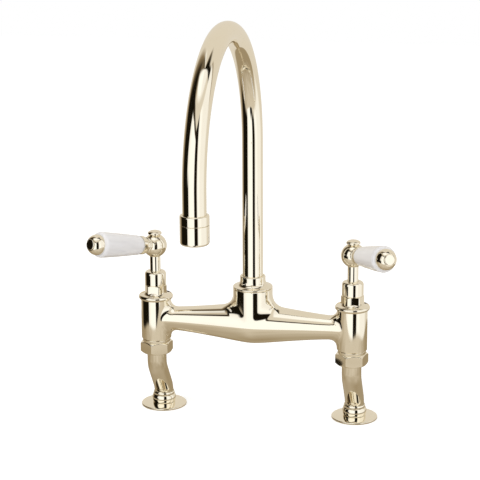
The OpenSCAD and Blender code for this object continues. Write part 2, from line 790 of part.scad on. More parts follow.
bridge_body();
spout_collar();
spout_bearing_lower();
spout_bearing_upper();
spout_spigot();
spigot_orings();
spout_tube();
outlet_collar();
aerator_housing();
aerator_insert();
aerator_washer();
leg(left);  // left_leg
foot_rose(left);  // left_foot_rose
foot_gasket(left);  // left_foot_gasket
tail(left);  // left_tail
clamp_washer(left);  // left_clamp_washer
plate_washer(left);  // left_plate_washer
backnut(left);  // left_backnut
union_nut(left);  // left_union_nut
union_washer(left);  // left_union_washer
bonnet(left);  // left_bonnet
bonnet_seal(left);  // left_bonnet_seal
gland_nut(left);  // left_gland_nut
seat_seal(left);  // left_seat_seal
fixed_disc(left);  // left_fixed_disc
moving_disc(left);  // left_moving_disc
spindle(left);  // left_spindle
spindle_orings(left);  // left_spindle_orings
lever_hub(left);  // left_lever_hub
hub_screw(left);  // left_hub_screw
hub_cap(left);  // left_hub_cap
grip(left);  // left_grip
grip_rod(left);  // left_grip_rod
end_cap(left);  // left_end_cap
tip_knob(left);  // left_tip_knob
leg(right);  // right_leg
foot_rose(right);  // right_foot_rose
foot_gasket(right);  // right_foot_gasket
tail(right);  // right_tail
clamp_washer(right);  // right_clamp_washer
plate_washer(right);  // right_plate_washer
backnut(right);  // right_backnut
union_nut(right);  // right_union_nut
union_washer(right);  // right_union_washer
bonnet(right);  // right_bonnet
bonnet_seal(right);  // right_bonnet_seal
gland_nut(right);  // right_gland_nut
seat_seal(right);  // right_seat_seal
fixed_disc(right);  // right_fixed_disc
moving_disc(right);  // right_moving_disc
spindle(right);  // right_spindle
spindle_orings(right);  // right_spindle_orings
lever_hub(right);  // right_lever_hub
hub_screw(right);  // right_hub_screw
hub_cap(right);  // right_hub_cap
grip(right);  // right_grip
grip_rod(right);  // right_grip_rod
end_cap(right);  // right_end_cap
tip_knob(right);  // right_tip_knob
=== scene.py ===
# %% [markdown]
# # A two-hole bridge mixer tap in polished pale gold
#
# The tap is mostly turned and cast metal with a mirror finish, and two porcelain grips. A
# mirror shows every facet and every wobble of the surface, so the visible metal is modelled
# here again with dense, smooth meshes that sit exactly where the CAD parts are. What lies
# inside the tap keeps its CAD mesh and only gets a material.

# %% Load the frame
import math

import bpy
import numpy as np
from mathutils import Matrix, Vector


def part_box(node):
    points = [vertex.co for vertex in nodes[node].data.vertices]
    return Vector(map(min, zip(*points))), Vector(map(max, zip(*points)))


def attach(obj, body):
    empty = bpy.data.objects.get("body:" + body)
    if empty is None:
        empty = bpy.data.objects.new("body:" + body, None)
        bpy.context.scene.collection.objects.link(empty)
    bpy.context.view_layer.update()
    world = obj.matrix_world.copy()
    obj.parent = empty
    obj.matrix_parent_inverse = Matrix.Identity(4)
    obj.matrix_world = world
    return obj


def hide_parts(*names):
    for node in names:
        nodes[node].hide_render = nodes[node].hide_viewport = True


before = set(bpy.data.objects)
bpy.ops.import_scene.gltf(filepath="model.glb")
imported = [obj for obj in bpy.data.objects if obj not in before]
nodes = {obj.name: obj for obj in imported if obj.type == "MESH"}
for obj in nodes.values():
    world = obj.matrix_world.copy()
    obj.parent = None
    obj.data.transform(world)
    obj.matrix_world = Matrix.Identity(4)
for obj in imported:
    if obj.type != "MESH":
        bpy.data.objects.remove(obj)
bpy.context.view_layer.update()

# %% [markdown]
# ## Main sizes
#
# The scene is in metres and the drawing of a tap is in millimetres, so every size below is
# in millimetres and `MM` turns it into scene units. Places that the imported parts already
# hold, such as the height of a nut, are read from their boxes with `level` and `span`, so that
# the two can't drift apart. `FIT` is what a bore has in radius over the bar that runs in it.

# %% Sizes and places
MM = 0.001
FIT = 0.05
SIDES = {"left": -1, "right": 1}


def level(node, top=False):
    """Height in mm of a CAD node's lower face, or of its upper one."""
    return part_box(node)[1 if top else 0].z / MM


def span(node):
    """Heights in mm of a CAD node's lower and upper faces."""
    return level(node), level(node, top=True)


def centre(node):
    """Middle of a CAD node's box, in mm."""
    low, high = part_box(node)
    return (low + high) / 2 / MM


hole_x = centre("right_foot_rose").x
valve_y = centre("right_union_nut").y
spout_y = centre("aerator_housing").y
ball_z = 177
lever_yaw = math.radians(59.2)
lever_rise = math.radians(11.4)
barrel_r = 15
boss_r = 19.75
tube_r = 10.15
leg_r = 9.75
print("Holes at", hole_x, "valves at", round(valve_y, 2), "outlet at", round(spout_y, 2))

# %% [markdown]
# ## Helpers for turned work
#
# A lathe turns a profile about an axis, and Blender's Spin does the same. The profile is one
# vertex, extruded from point to point in the XZ plane, and Spin carries it once round the Z
# axis. Small radii are put on the profile's corners first: a real edge is never quite sharp,
# and on polished metal it is the thin bright line on the edge that makes it look real.

# %% Profiles
def arc(cx, cz, radius, start, end, steps=8, radius_z=None):
    """Points of an arc, in degrees from +X, with its own height if radius_z is given."""
    rz = radius if radius_z is None else radius_z
    angles = [math.radians(start + (end - start) * i / steps) for i in range(steps + 1)]
    return [(cx + radius * math.cos(a), cz + rz * math.sin(a)) for a in angles]


def rounded(corners, steps=3):
    """Points whose corners (r, z, radius) are replaced by arcs. The two ends stay sharp."""
    outline = []
    for i, corner in enumerate(corners):
        here = Vector(corner[:2])
        size = corner[2] if len(corner) > 2 else 0
        if size == 0:
            outline.append(tuple(here))
            continue
        to_last = Vector(corners[i - 1][:2]) - here
        to_next = Vector(corners[i + 1][:2]) - here
        half = to_last.angle(to_next) / 2
        reach = min(size / math.tan(half), 0.49 * to_last.length, 0.49 * to_next.length)
        middle = here + (to_last.normalized() + to_next.normalized()).normalized() \
            * reach / math.cos(half)
        first = here + to_last.normalized() * reach - middle
        turn = first.angle_signed(here + to_next.normalized() * reach - middle)
        for k in range(steps + 1):
            # angle_signed counts clockwise, and Matrix.Rotation the other way
            spoke = Matrix.Rotation(-turn * k / steps, 2) @ first
            outline.append(tuple(middle + spoke))
    return outline


def stepped(low, *steps):
    """Outline of a stepped bar or drill, from its foot and each step's (radius, top)."""
    outline = [(0, low)]
    for radius, high in steps:
        outline += [(radius, low), (radius, high)]
        low = high
    return outline + [(0, low)]


# %% [markdown]
# Operators act on whatever is selected, so each helper starts by deselecting everything.
# After the spin the doubled seam and the poles are merged, and the normals are worked out
# again so that they all point outwards.

# %% Turning and placing
SEGMENTS = 96
DOUBLES = 2e-6
SHARP_FROM = 32
FLAT_WEIGHT = 70


def deselect():
    if bpy.context.object and bpy.context.object.mode != "OBJECT":
        bpy.ops.object.mode_set(mode="OBJECT")
    bpy.ops.object.select_all(action="DESELECT")


def choose(piece):
    """Makes one object the selected and active one."""
    deselect()
    piece.select_set(True)
    bpy.context.view_layer.objects.active = piece


def edit_all(piece):
    """Goes into edit mode with everything selected."""
    choose(piece)
    bpy.ops.object.mode_set(mode="EDIT")
    bpy.ops.mesh.select_all(action="SELECT")


def close_seams():
    """In edit mode: merges doubles and turns all normals outwards."""
    bpy.ops.mesh.select_all(action="SELECT")
    bpy.ops.mesh.remove_doubles(threshold=DOUBLES)
    bpy.ops.mesh.normals_make_consistent(inside=False)


def lathe(name, outline, segments=SEGMENTS):
    """A solid of revolution about Z from a closed outline of (radius, height) points in mm."""
    deselect()
    bpy.ops.mesh.primitive_plane_add(size=MM)
    piece = bpy.context.object
    rename(piece, name)
    edit_all(piece)
    bpy.ops.mesh.merge(type="CENTER")
    start = outline[0]
    bpy.ops.transform.translate(value=(start[0] * MM, 0, start[1] * MM))
    for (r0, z0), (r1, z1) in zip(outline, outline[1:] + [start]):
        step = ((r1 - r0) * MM, 0, (z1 - z0) * MM)
        bpy.ops.mesh.extrude_vertices_move(TRANSFORM_OT_translate={"value": step})
    bpy.ops.mesh.select_all(action="SELECT")
    bpy.ops.mesh.spin(steps=segments, angle=math.radians(360), center=(0, 0, 0),
                      axis=(0, 0, 1), use_auto_merge=True)
    close_seams()
    bpy.ops.object.mode_set(mode="OBJECT")
    return piece


def place(piece, matrix):
    """Moves a piece and bakes the move into its mesh, so that its object stays at the origin."""
    piece.matrix_world = matrix
    choose(piece)
    bpy.ops.object.transform_apply(location=True, rotation=True, scale=True)
    return piece


def moved(x, y, z=0):
    """A move in mm."""
    return Matrix.Translation(Vector((x, y, z)) * MM)


def at_valve(sign, z=0):
    return moved(sign * hole_x, valve_y, z)


def at_hole(sign):
    return moved(sign * hole_x, 0)


def apply_modifier(piece, kind, **settings):
    """Adds a modifier with its settings and applies it at once."""
    choose(piece)
    bpy.ops.object.modifier_add(type=kind)
    modifier = piece.modifiers[-1]
    for key, value in settings.items():
        setattr(modifier, key, value)
    bpy.ops.object.modifier_apply(modifier=modifier.name)


def combine(piece, tool, operation="DIFFERENCE"):
    """Cuts with a tool, joins it or keeps what both share. The tool is used up."""
    apply_modifier(piece, "BOOLEAN", object=tool, operation=operation, solver="EXACT")
    bpy.data.objects.remove(tool)
    return piece


def turned(name, outline, matrix):
    return place(lathe(name, outline), matrix)


def bore(piece, outline, matrix=Matrix()):
    """Cuts a turned form out of a piece."""
    return combine(piece, turned("cutter", outline, matrix))


def rename(piece, name):
    piece.name = piece.data.name = name


def set_points(mesh, p):
    """Writes points in mm into a mesh."""
    mesh.vertices.foreach_set("co", (p * MM).ravel())
    mesh.update()


def read_all(items, key, kind=float):
    """One whole number for each item, or its vector where the kind is float."""
    values = np.empty(len(items) * (3 if kind is float else 1), dtype=kind)
    items.foreach_get(key, values)
    return values.reshape(-1, 3) if kind is float else values


def points_of(mesh):
    """The mesh's points in mm."""
    return read_all(mesh.vertices, "co") / MM


def polish_shading(piece):
    """Smooth shading over curves, sharp over real edges, with flats that stay flat."""
    choose(piece)
    bpy.ops.object.shade_smooth_by_angle(angle=math.radians(SHARP_FROM))
    apply_modifier(piece, "WEIGHTED_NORMAL", keep_sharp=True, weight=FLAT_WEIGHT)


# %% [markdown]
# Every piece ends in the same way: it gets the material of its slot, rides on a body and
# hides the CAD node that it replaces. Most pieces come in a left and a right one, which
# `finish_both` makes from one function.

# %% Registering a piece
SLOT_FINISH = {}
made = []


def coat(piece, slot):
    piece.data.materials.clear()
    piece.data.materials.append(SLOT_FINISH[slot])


def finish_piece(piece, node, body="tap_body", slot="plated_brass", shade=True):
    if shade:
        polish_shading(piece)
    coat(piece, slot)
    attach(piece, body)
    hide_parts(node)
    made.append(piece.name)


def finish_both(make, node, body="tap_body", slot="plated_brass"):
    """Makes and finishes a left and a right piece. A body "lever" is the one of that side."""
    for side, sign in SIDES.items():
        finish_piece(make(side, sign), side + "_" + node,
                     side + "_lever" if body == "lever" else body, slot)


# %% [markdown]
# ## Finishes
#
# Polished plate is close to a perfect mirror. What tells it from a computer's mirror is a
# little uneven gloss from handling and a very shallow waviness left by the polishing wheel.
# One node group makes both from noise on Object coordinates, and each material calls it with
# its own scale and strength.

# %% Nodes
def new_node(tree, kind, inputs=None, **settings):
    """Adds a shader node. Each input gets a value or is linked to another node's output."""
    node = tree.nodes.new("ShaderNode" + kind)
    for name, value in settings.items():
        setattr(node, name, value)
    for socket, value in (inputs or {}).items():
        if isinstance(value, bpy.types.NodeSocket):
            tree.links.new(value, node.inputs[socket])
        else:
            node.inputs[socket].default_value = value
    return node


def calculate(tree, operation, *operands):
    """The result of a Math node."""
    return new_node(tree, "Math", dict(enumerate(operands)),
                    operation=operation).outputs["Value"]


def rise(tree, value, start, end):
    """0 up to the start, 1 from the end on and in between a steady rise."""
    return new_node(tree, "MapRange", {"Value": value, "From Min": start,
                                       "From Max": end}).outputs["Result"]


def noise(tree, where, scale, detail):
    return new_node(tree, "TexNoise", {"Vector": where, "Scale": scale,
                                       "Detail": detail}).outputs["Fac"]


def mix_colours(tree, share, first, second):
    return new_node(tree, "Mix", {"Factor": share, "A": first, "B": second},
                    data_type="RGBA").outputs["Result"]


def mix_shaders(tree, share, first, second):
    return new_node(tree, "MixShader", {"Fac": share, 1: first, 2: second}).outputs["Shader"]


# %% The shared surface group
# waves from polishing, and a fine grain on what is only machined or moulded
WAVE_SCALE, WAVE_DEPTH = 55, 0.0004
GRAIN_SCALE, GRAIN_DEPTH = 2600, 0.00005
PATCH_START, PATCH_END = 0.42, 0.72


def surface_group():
    group = bpy.data.node_groups.new("uneven_surface", "ShaderNodeTree")
    for kind, direction, names in (
            ("Color", "INPUT", ("Colour", "Stain")),
            ("Float", "INPUT", ("Stain amount", "Scale", "Roughness", "Unevenness",
                                "Waviness", "Grain")),
            ("Color", "OUTPUT", ("Colour",)), ("Float", "OUTPUT", ("Roughness",)),
            ("Vector", "OUTPUT", ("Normal",))):
        for name in names:
            group.interface.new_socket(name=name, in_out=direction,
                                       socket_type="NodeSocket" + kind)
    given = group.nodes.new("NodeGroupInput").outputs
    results = group.nodes.new("NodeGroupOutput").inputs
    where = new_node(group, "TexCoord").outputs["Object"]
    cloud = noise(group, where, given["Scale"], 3)
    stained = calculate(group, "MULTIPLY", rise(group, cloud, PATCH_START, PATCH_END),
                        given["Stain amount"])
    waves = new_node(group, "Bump", {
        "Height": noise(group, where, WAVE_SCALE, 0), "Strength": given["Waviness"],
        "Distance": WAVE_DEPTH})
    grain = new_node(group, "Bump", {
        "Height": noise(group, where, GRAIN_SCALE, 2), "Strength": given["Grain"],
        "Distance": GRAIN_DEPTH, "Normal": waves.outputs["Normal"]})
    for name, value in (
            ("Colour", mix_colours(group, stained, given["Colour"], given["Stain"])),
            ("Roughness", calculate(group, "MULTIPLY_ADD", cloud, given["Unevenness"],
                                    given["Roughness"])),
            ("Normal", grain.outputs["Normal"])):
        group.links.new(value, results[name])
    return group


uneven_surface = surface_group()


def finish(slot, name, colour, stain, stain_amount, scale, roughness, unevenness, waviness,
           grain, **shader_values):
    """The material of a slot, whose colour, gloss and surface come from the shared group."""
    material = bpy.data.materials.new(name)
    material.use_nodes = True
    tree = material.node_tree
    shader = tree.nodes["Principled BSDF"]
    surface = new_node(tree, "Group", {
        "Colour": (*colour, 1), "Stain": (*stain, 1), "Stain amount": stain_amount,
        "Scale": scale, "Roughness": roughness, "Unevenness": unevenness,
        "Waviness": waviness, "Grain": grain}, node_tree=uneven_surface)
    for result, socket in (("Colour", "Base Color"), ("Roughness", "Roughness"),
                           ("Normal", "Normal")):
        tree.links.new(surface.outputs[result], shader.inputs[socket])
    for socket, value in shader_values.items():
        shader.inputs[socket].default_value = value
    SLOT_FINISH[slot] = material


# %% [markdown]
# The plate is a pale champagne gold: cream where it reflects a white wall and tan where it
# reflects something darker. Porcelain is a white body under a clear glaze, so it gets a coat.

# %% The finishes
# slot, material, colour and stain, then stain amount, scale, roughness, unevenness, waviness
# and grain
finish("plated_brass", "polished_pale_gold", (0.955, 0.905, 0.785), (0.90, 0.82, 0.67),
       0.25, 38, 0.035, 0.03, 0.10, 0.0, Metallic=1.0)
finish("raw_brass", "machined_brass", (0.78, 0.60, 0.29), (0.50, 0.36, 0.16),
       0.5, 120, 0.24, 0.18, 0.1, 0.25, Metallic=1.0)
finish("porcelain", "glazed_porcelain", (0.86, 0.845, 0.85), (0.80, 0.775, 0.78),
       0.35, 45, 0.16, 0.06, 0.12, 0.0,
       **{"Coat Weight": 1.0, "Coat Roughness": 0.04, "IOR": 1.5})
finish("disc_ceramic", "lapped_ceramic", (0.82, 0.81, 0.77), (0.70, 0.69, 0.65),
       0.4, 160, 0.30, 0.1, 0.0, 0.2)
finish("rubber", "black_rubber", (0.022, 0.022, 0.023), (0.06, 0.058, 0.055),
       0.6, 180, 0.62, 0.15, 0.0, 0.5)
finish("steel", "plain_steel", (0.60, 0.61, 0.62), (0.42, 0.42, 0.43),
       0.4, 200, 0.28, 0.15, 0.0, 0.3, Metallic=1.0)
finish("nylon", "natural_nylon", (0.78, 0.75, 0.66), (0.70, 0.66, 0.56),
       0.4, 150, 0.42, 0.1, 0.0, 0.2)
print("Finishes:", ", ".join(m.name for m in SLOT_FINISH.values()))

# %% [markdown]
# ## The bridge
#
# The bridge is one hollow casting: two valve barrels, a boss for the spout and two arms that
# swell from the barrels to a wide belly under the boss. The arms run into the barrels and the
# boss through soft fillets, which no boolean gives. So the rough form is made of turned
# lumps and remeshed into one skin, and each vertex of that skin is then moved onto the exact
# blended surface, which is written as a distance field. A fillet of a constant radius reaches
# far where two surfaces meet squarely and vanishes where they are flush, so its reach follows
# the angle between their normals.

# %% The bridge's distance field
arm_z = 102
arm_mid_r = 20.3
arm_end_r = 12
arm_end_x = hole_x - barrel_r - 5
arm_round = 0.12
arm_hollow = 1.3
barrel_top = level("left_bonnet_seal", top=True)
boss_top = level("spout_collar", top=True) - 13
boss_fillet = 15
barrel_fillet = 9


def arm_radius(x):
    """Radius of the arms at x: they thin quickly beside the rounded belly, and then slowly."""
    far = math.sqrt(1 + arm_round ** 2)
    share = (far - np.sqrt((x / arm_end_x) ** 2 + arm_round ** 2)) / (far - arm_round)
    return arm_end_r + (arm_mid_r - arm_end_r) * np.maximum(share, 0) ** arm_hollow


def blend(a, b, reach):
    """The smaller of two distances, rounded where they are within reach of each other."""
    near = np.maximum(reach - np.abs(a - b), 0) / np.maximum(reach, 1e-9)
    return np.minimum(a, b) - near * near * reach / 4


def bridge_distance(p):
    """Signed distance in mm from points to the skin of the casting."""
    x, y, z = np.abs(p[:, 0]), p[:, 1] - valve_y, p[:, 2] - arm_z
    slope = (arm_radius(x - 0.1) - arm_radius(x + 0.1)) / 0.2
    steep = np.sqrt(1 + slope * slope)
    spoke = np.maximum(np.hypot(y, z), 1e-9)
    arms = np.maximum((spoke - arm_radius(x)) / steep, x - hole_x)
    from_boss, from_valve = np.hypot(x, y), np.hypot(x - hole_x, y)
    around, below = from_boss - boss_r, -z
    boss = np.where((around > 0) & (below > 0), np.hypot(around, below),
                    np.maximum(around, below))
    barrels = from_valve - barrel_r
    # how squarely the arms meet each post: 1 where the two normals are square, 0 where flush
    boss_meet = 1 - (slope * x + y * y / spoke) / np.maximum(from_boss, 1e-9) / steep
    barrel_meet = 1 - (slope * (x - hole_x) + y * y / spoke) / np.maximum(from_valve, 1e-9) / steep
    skin = blend(arms, boss, boss_fillet * np.clip(boss_meet, 0, 1))
    return blend(skin, barrels, barrel_fillet * np.clip(barrel_meet, 0, 1))


def bridge_normals(p, step=0.02):
    """Gradient of the distance field, from its change over a small step each way."""
    return np.array([(bridge_distance(p + axis) - bridge_distance(p - axis)) / (2 * step)
                     for axis in np.eye(3) * step]).T


# %% [markdown]
# The rough form only has to lie within a few millimetres of the field's surface. It runs past
# the faces that are machined flat later, so that those cuts are clean. Vertices near those
# overrunning ends stay where they are.

# %% Rough form and skin
VOXEL = 0.8
overrun = 4
end_zone = 2


def bar(name, radius, low, high, x=0.0):
    """A turned bar upright on the bridge's line, used as a lump or as a cutter."""
    return turned(name, stepped(low, (radius, high)), moved(x, valve_y))


def cross_bar(name, outline):
    """A bar turned about the line through the two valves, from (radius, x) points."""
    return turned(name, outline, moved(0, valve_y, arm_z)
                  @ Matrix.Rotation(math.radians(90), 4, "Y"))


barrel_h = 41
barrel_low = barrel_top - barrel_h
bridge = cross_bar("bridge_casting", [
    (0, -hole_x), (arm_end_r, -hole_x), (arm_end_r, -arm_end_x), (arm_mid_r, 0),
    (arm_end_r, arm_end_x), (arm_end_r, hole_x), (0, hole_x)])
combine(bridge, bar("lump", boss_r, arm_z, boss_top + overrun), "UNION")
for sign in SIDES.values():
    combine(bridge, bar("lump", barrel_r, barrel_low - overrun, barrel_top + overrun,
                        sign * hole_x), "UNION")
apply_modifier(bridge, "REMESH", mode="VOXEL", voxel_size=VOXEL * MM)


def settle_on_skin(mesh, rounds=5):
    """Moves vertices along the field's gradient onto its surface. Returns the largest miss."""
    p = points_of(mesh)
    past = overrun - end_zone
    flat_ends = (p[:, 2] > boss_top + past) | \
        ((np.abs(p[:, 0]) > hole_x / 2)
         & ((p[:, 2] > barrel_top + past) | (p[:, 2] < barrel_low - past)))
    for _ in range(rounds):
        slope = bridge_normals(p)
        size = np.maximum((slope ** 2).sum(1), 0.25)
        step = slope * (bridge_distance(p) / size)[:, None]
        step[flat_ends] = 0
        p -= step
    set_points(mesh, p)
    return float(np.abs(bridge_distance(p[~flat_ends])).max())


off_skin = settle_on_skin(bridge.data)
print("Bridge skin:", len(bridge.data.polygons), "faces, off the field by at most",
      round(off_skin, 4), "mm")

# %% [markdown]
# The casting is then machined: the boss and the barrels are faced off flat, and the valve
# chambers, the spout's socket and the waterways are bored. The cutters are turned, like the
# drills and mills that do it. A small chamfer on each facing cutter breaks the post's edge.
# A cutter runs a millimetre past the face that it starts from.

# %% Facing and boring
break_edge = 0.35
facing_h = 8
boss_facing_r, barrel_facing_r = 24, 17.5
union_spigot_r = 12.3
inlet_r, inlet_roof = 7, 4
valve_hole_r, chamber_r = 6.4, 10.5
seal_step_r, seal_step_h = 13.1, 1.6
waterway_r = 5.5
shank_bore_r, shank_bore_h = 10.5, 31
socket_r = 15.52


def face_off(radius, cut_r, z, up, x=0.0):
    """Clears everything beyond height z round a round post and breaks the post's edge."""
    s = 1 if up else -1
    bore(bridge, [(0, z), (radius - break_edge, z), (radius + 1, z - s * (break_edge + 1)),
                  (cut_r, z - s * (break_edge + 1)), (cut_r, z + s * facing_h),
                  (0, z + s * facing_h)], moved(x, valve_y))


seat_low = level("left_union_washer", top=True)
valve_seat = level("left_seat_seal")
socket_floor = level("spout_bearing_lower")
face_off(boss_r, boss_facing_r, boss_top, True)
for sign in SIDES.values():
    x = sign * hole_x
    face_off(barrel_r, barrel_facing_r, barrel_top, True, x)
    face_off(barrel_r, barrel_facing_r, barrel_low, False, x)
    combine(bridge, bar("union_spigot", union_spigot_r, seat_low, barrel_low + 2, x), "UNION")
    bore(bridge, stepped(
        seat_low - 1, (inlet_r, valve_seat - inlet_roof), (valve_hole_r, valve_seat),
        (chamber_r, barrel_top - seal_step_h), (seal_step_r, barrel_top + 1)), moved(x, valve_y))
combine(bridge, cross_bar("cutter", stepped(-hole_x, (waterway_r, hole_x))))
bore(bridge, stepped(socket_floor - shank_bore_h, (shank_bore_r, socket_floor),
                     (socket_r, boss_top + 1)), moved(0, valve_y))


# %% [markdown]
# Remeshed skin is smooth but its normals still wander a little from vertex to vertex, which a
# mirror turns into ripples. The field knows the true normal everywhere, so the corners that
# lie on it take that one, and the bored and faced surfaces keep their own.

# %% True normals
def field_shading(piece, near=0.02):
    """Gives corners on the field's surface its normal. Returns their share."""
    polish_shading(piece)
    mesh = piece.data
    corner = read_all(mesh.corner_normals, "vector")
    vertex = read_all(mesh.loops, "vertex_index", int)
    face = np.repeat(read_all(mesh.polygons, "normal"),
                     read_all(mesh.polygons, "loop_total", int), axis=0)
    p = points_of(mesh)
    slope = bridge_normals(p)
    slope /= np.maximum(np.linalg.norm(slope, axis=1), 1e-9)[:, None]
    on_skin = np.abs(bridge_distance(p)) < near
    use = on_skin[vertex] & ((slope[vertex] * face).sum(1) > 0.8)
    corner[use] = slope[vertex][use]
    mesh.normals_split_custom_set(corner.tolist())
    return float(use.mean())


print("Corners with the field's normal:", round(field_shading(bridge), 2))
finish_piece(bridge, "bridge_body", shade=False)

# %% [markdown]
# ## Spout
#
# The swan neck is a drawn tube bent once through a half circle. A circle of vertices is
# extruded up the column, spun through the bend and extruded down to the outlet. Solidify then
# gives it the wall of a real tube.

# %% Swan neck
TUBE_SIDES = 64
bend_z = 286.7
bend_r = (valve_y - spout_y) / 2
tube_low = level("spout_tube")
tube_wall = 1.2
tube_end = level("outlet_collar") + 8.4


def start_tube(name, radius, x, y, z):
    """Adds the ring of vertices that a tube is drawn from, and goes into edit mode."""
    deselect()
    bpy.ops.mesh.primitive_circle_add(vertices=TUBE_SIDES, radius=radius * MM)
    tube = bpy.context.object
    rename(tube, name)
    edit_all(tube)
    bpy.ops.transform.translate(value=(x * MM, y * MM, z * MM))
    return tube


def run_up(height, back=0):
    """Extrudes the selected ring of a tube up, and back along Y, in mm."""
    bpy.ops.mesh.extrude_edges_move(
        TRANSFORM_OT_translate={"value": (0, back * MM, height * MM)})


def bend_tube(degrees, y, z, steps):
    """Spins the selected ring about a line along X. Spin turns against the axis it is given."""
    bpy.ops.mesh.spin(steps=steps, angle=math.radians(abs(degrees)),
                      center=(0, y * MM, z * MM), axis=(-math.copysign(1, degrees), 0, 0))


def end_tube(tube, wall):
    """Leaves edit mode and gives the tube its wall, inwards."""
    close_seams()
    bpy.ops.object.mode_set(mode="OBJECT")
    apply_modifier(tube, "SOLIDIFY", thickness=wall * MM, offset=-1, use_even_offset=True)


neck = start_tube("spout_swan_neck", tube_r, 0, valve_y, tube_low)
run_up(bend_z - tube_low)
bend_tube(180, valve_y - bend_r, bend_z, 128)
run_up(tube_end - bend_z)
end_tube(neck, tube_wall)
finish_piece(neck, "spout_tube", "spout")

# %% [markdown]
# The collar at the foot of the spout is a bead that sits on the boss, a hollow curve up to a
# slim neck, and a rounded lip round the tube. Below the seam it screws into the boss.

# %% Spout collar
collar_low, collar_top = span("spout_collar")
collar_thread_r = 15.47
neck_r, neck_lip = 12.7, 1.2
bead_out = boss_r - 1
flare = bead_out - neck_r
outline = rounded([
    (tube_r + 0.15, collar_low), (collar_thread_r, collar_low), (collar_thread_r, boss_top),
    (boss_r - 0.6, boss_top)])
outline += arc(bead_out, boss_top + 1.4, 1, -60, 90, 10)
outline += arc(bead_out, boss_top + 2.4 + flare, flare, 268, 180, 14)
outline += arc(neck_r - neck_lip, collar_top - neck_lip, neck_lip, 0, 90, 8)
outline += [(tube_r + 0.5, collar_top), (tube_r + 0.15, collar_top - 0.4)]
finish_piece(turned("spout_turned_collar", outline, moved(0, valve_y)), "spout_collar", "spout")

# %% [markdown]
# The outlet has two parts that almost touch: a collar soldered to the tube, and the screwed
# housing that holds the aerator. The fine line between them shows in polished metal because
# both edges are rounded, so each gets its own small radius.

# %% Outlet
outlet_r = 12.5
outlet_low, housing_top = span("aerator_housing")
thread_low, outlet_top = span("outlet_collar")
outlet_seam = housing_top + 0.3
way_r = tube_r - tube_wall
outlet_thread_r = outlet_r - 1.25
outlet_shoulder, seam_edge = 1.4, 0.35
tube_stop = outlet_seam + 1.5
outline = rounded([(way_r, thread_low), (outlet_thread_r, thread_low, 0.3),
                   (outlet_thread_r, outlet_seam), (outlet_r, outlet_seam, seam_edge),
                   (outlet_r, outlet_seam + 1)])
outline += arc(outlet_r - outlet_shoulder, outlet_top - outlet_shoulder, outlet_shoulder, 0, 90, 8)
outline += [(tube_r + FIT, outlet_top), (tube_r + FIT, tube_stop),
            (way_r, tube_stop)]
finish_piece(turned("outlet_soldered_collar", outline, moved(0, spout_y)), "outlet_collar",
             "spout")

insert_r, insert_lip = 10.2, 1.4
insert_low, insert_top = span("aerator_insert")
mouth_round = 2.6
socket_wall = 1.2
outline = rounded([(insert_r - insert_lip, insert_low), (insert_r - insert_lip, outlet_low, 0.4),
                   (insert_r - 0.9, outlet_low)])
outline += arc(outlet_r - mouth_round, outlet_low + mouth_round, mouth_round, 275, 360, 10)
outline += rounded([(outlet_r, housing_top - 1), (outlet_r, housing_top, seam_edge),
                    (outlet_r - socket_wall, housing_top), (outlet_r - socket_wall, insert_top),
                    (insert_r, insert_top), (insert_r, insert_low)])
finish_piece(turned("aerator_screwed_housing", outline, moved(0, spout_y)), "aerator_housing",
             "spout")

# %% [markdown]
# ## Hexagons
#
# A nut is turned first and its flats are milled after. The same order works here: the turned
# blank, with its sloping chamfers, is bisected by six planes, and each cut is filled. The
# curved line that the chamfer leaves on a flat comes out by itself.

# %% Milling flats
def mill_flats(piece, across_flats, turn):
    """Cuts six flats round Z. turn is the direction of one flat, in degrees from +X."""
    edit_all(piece)
    for k in range(6):
        angle = math.radians(turn + 60 * k)
        normal = Vector((math.cos(angle), math.sin(angle), 0))
        bpy.ops.mesh.select_all(action="SELECT")
        bpy.ops.mesh.bisect(plane_co=normal * across_flats / 2 * MM, plane_no=normal,
                            use_fill=True, clear_outer=True)
    close_seams()
    bpy.ops.object.mode_set(mode="OBJECT")


def break_edges(piece, width=0.22, angle=24):
    """Puts a small round on every edge that turns by more than the angle."""
    apply_modifier(piece, "BEVEL", width=width * MM, segments=2, limit_method="ANGLE",
                   angle_limit=math.radians(angle), miter_outer="MITER_ARC")


CHAMFER_SLOPE = 0.7


def chamfered(across_flats, low, high, lower=True):
    """Outline of a turned blank for a hexagon, with chamfers that start inside the flats."""
    corner = across_flats / math.sqrt(3) + 0.6
    inner = across_flats / 2 - 0.45
    drop = (corner - inner) * CHAMFER_SLOPE
    foot = [(0, low), (inner, low), (corner, low + drop)] if lower else [(0, low), (corner, low)]
    return foot + [(corner, high - drop), (inner, high), (0, high)]


def milled_nut(across_flats, low, high, turn):
    """A hexagonal bar with chamfered ends and broken edges."""
    piece = lathe("nut", chamfered(across_flats, low, high))
    mill_flats(piece, across_flats, turn)
    break_edges(piece)
    return piece


nut_turns = {"left": 25 - 90, "right": 17 - 90}
bonnet_turns = {"left": -90, "right": 13 - 90}


# %% [markdown]
# Each union nut has its hexagon below and a plain round collar above. It holds the leg's
# flange up against the barrel.

# %% Union nuts
union_af = 29
nut_collar_r, nut_collar_h = 14, 3
nut_floor, nut_socket_r = 2.5, 12.35


def union_nut(side, sign):
    low, top = span(side + "_union_nut")
    hex_top = top - nut_collar_h
    piece = milled_nut(union_af, low, hex_top, nut_turns[side])
    ring = lathe("nut_collar", rounded([
        (0, hex_top - 2), (nut_collar_r, hex_top - 2), (nut_collar_r, top, 0.5), (0, top)]))
    combine(piece, ring, "UNION")
    bore(piece, [(0, low - 1), (leg_r + 0.6, low - 1), (leg_r + 0.1, low + 0.5),
                 (leg_r + 0.1, low + nut_floor), (nut_socket_r, low + nut_floor),
                 (nut_socket_r, top + 1), (0, top + 1)])
    rename(piece, side + "_milled_union_nut")
    return place(piece, at_valve(sign))


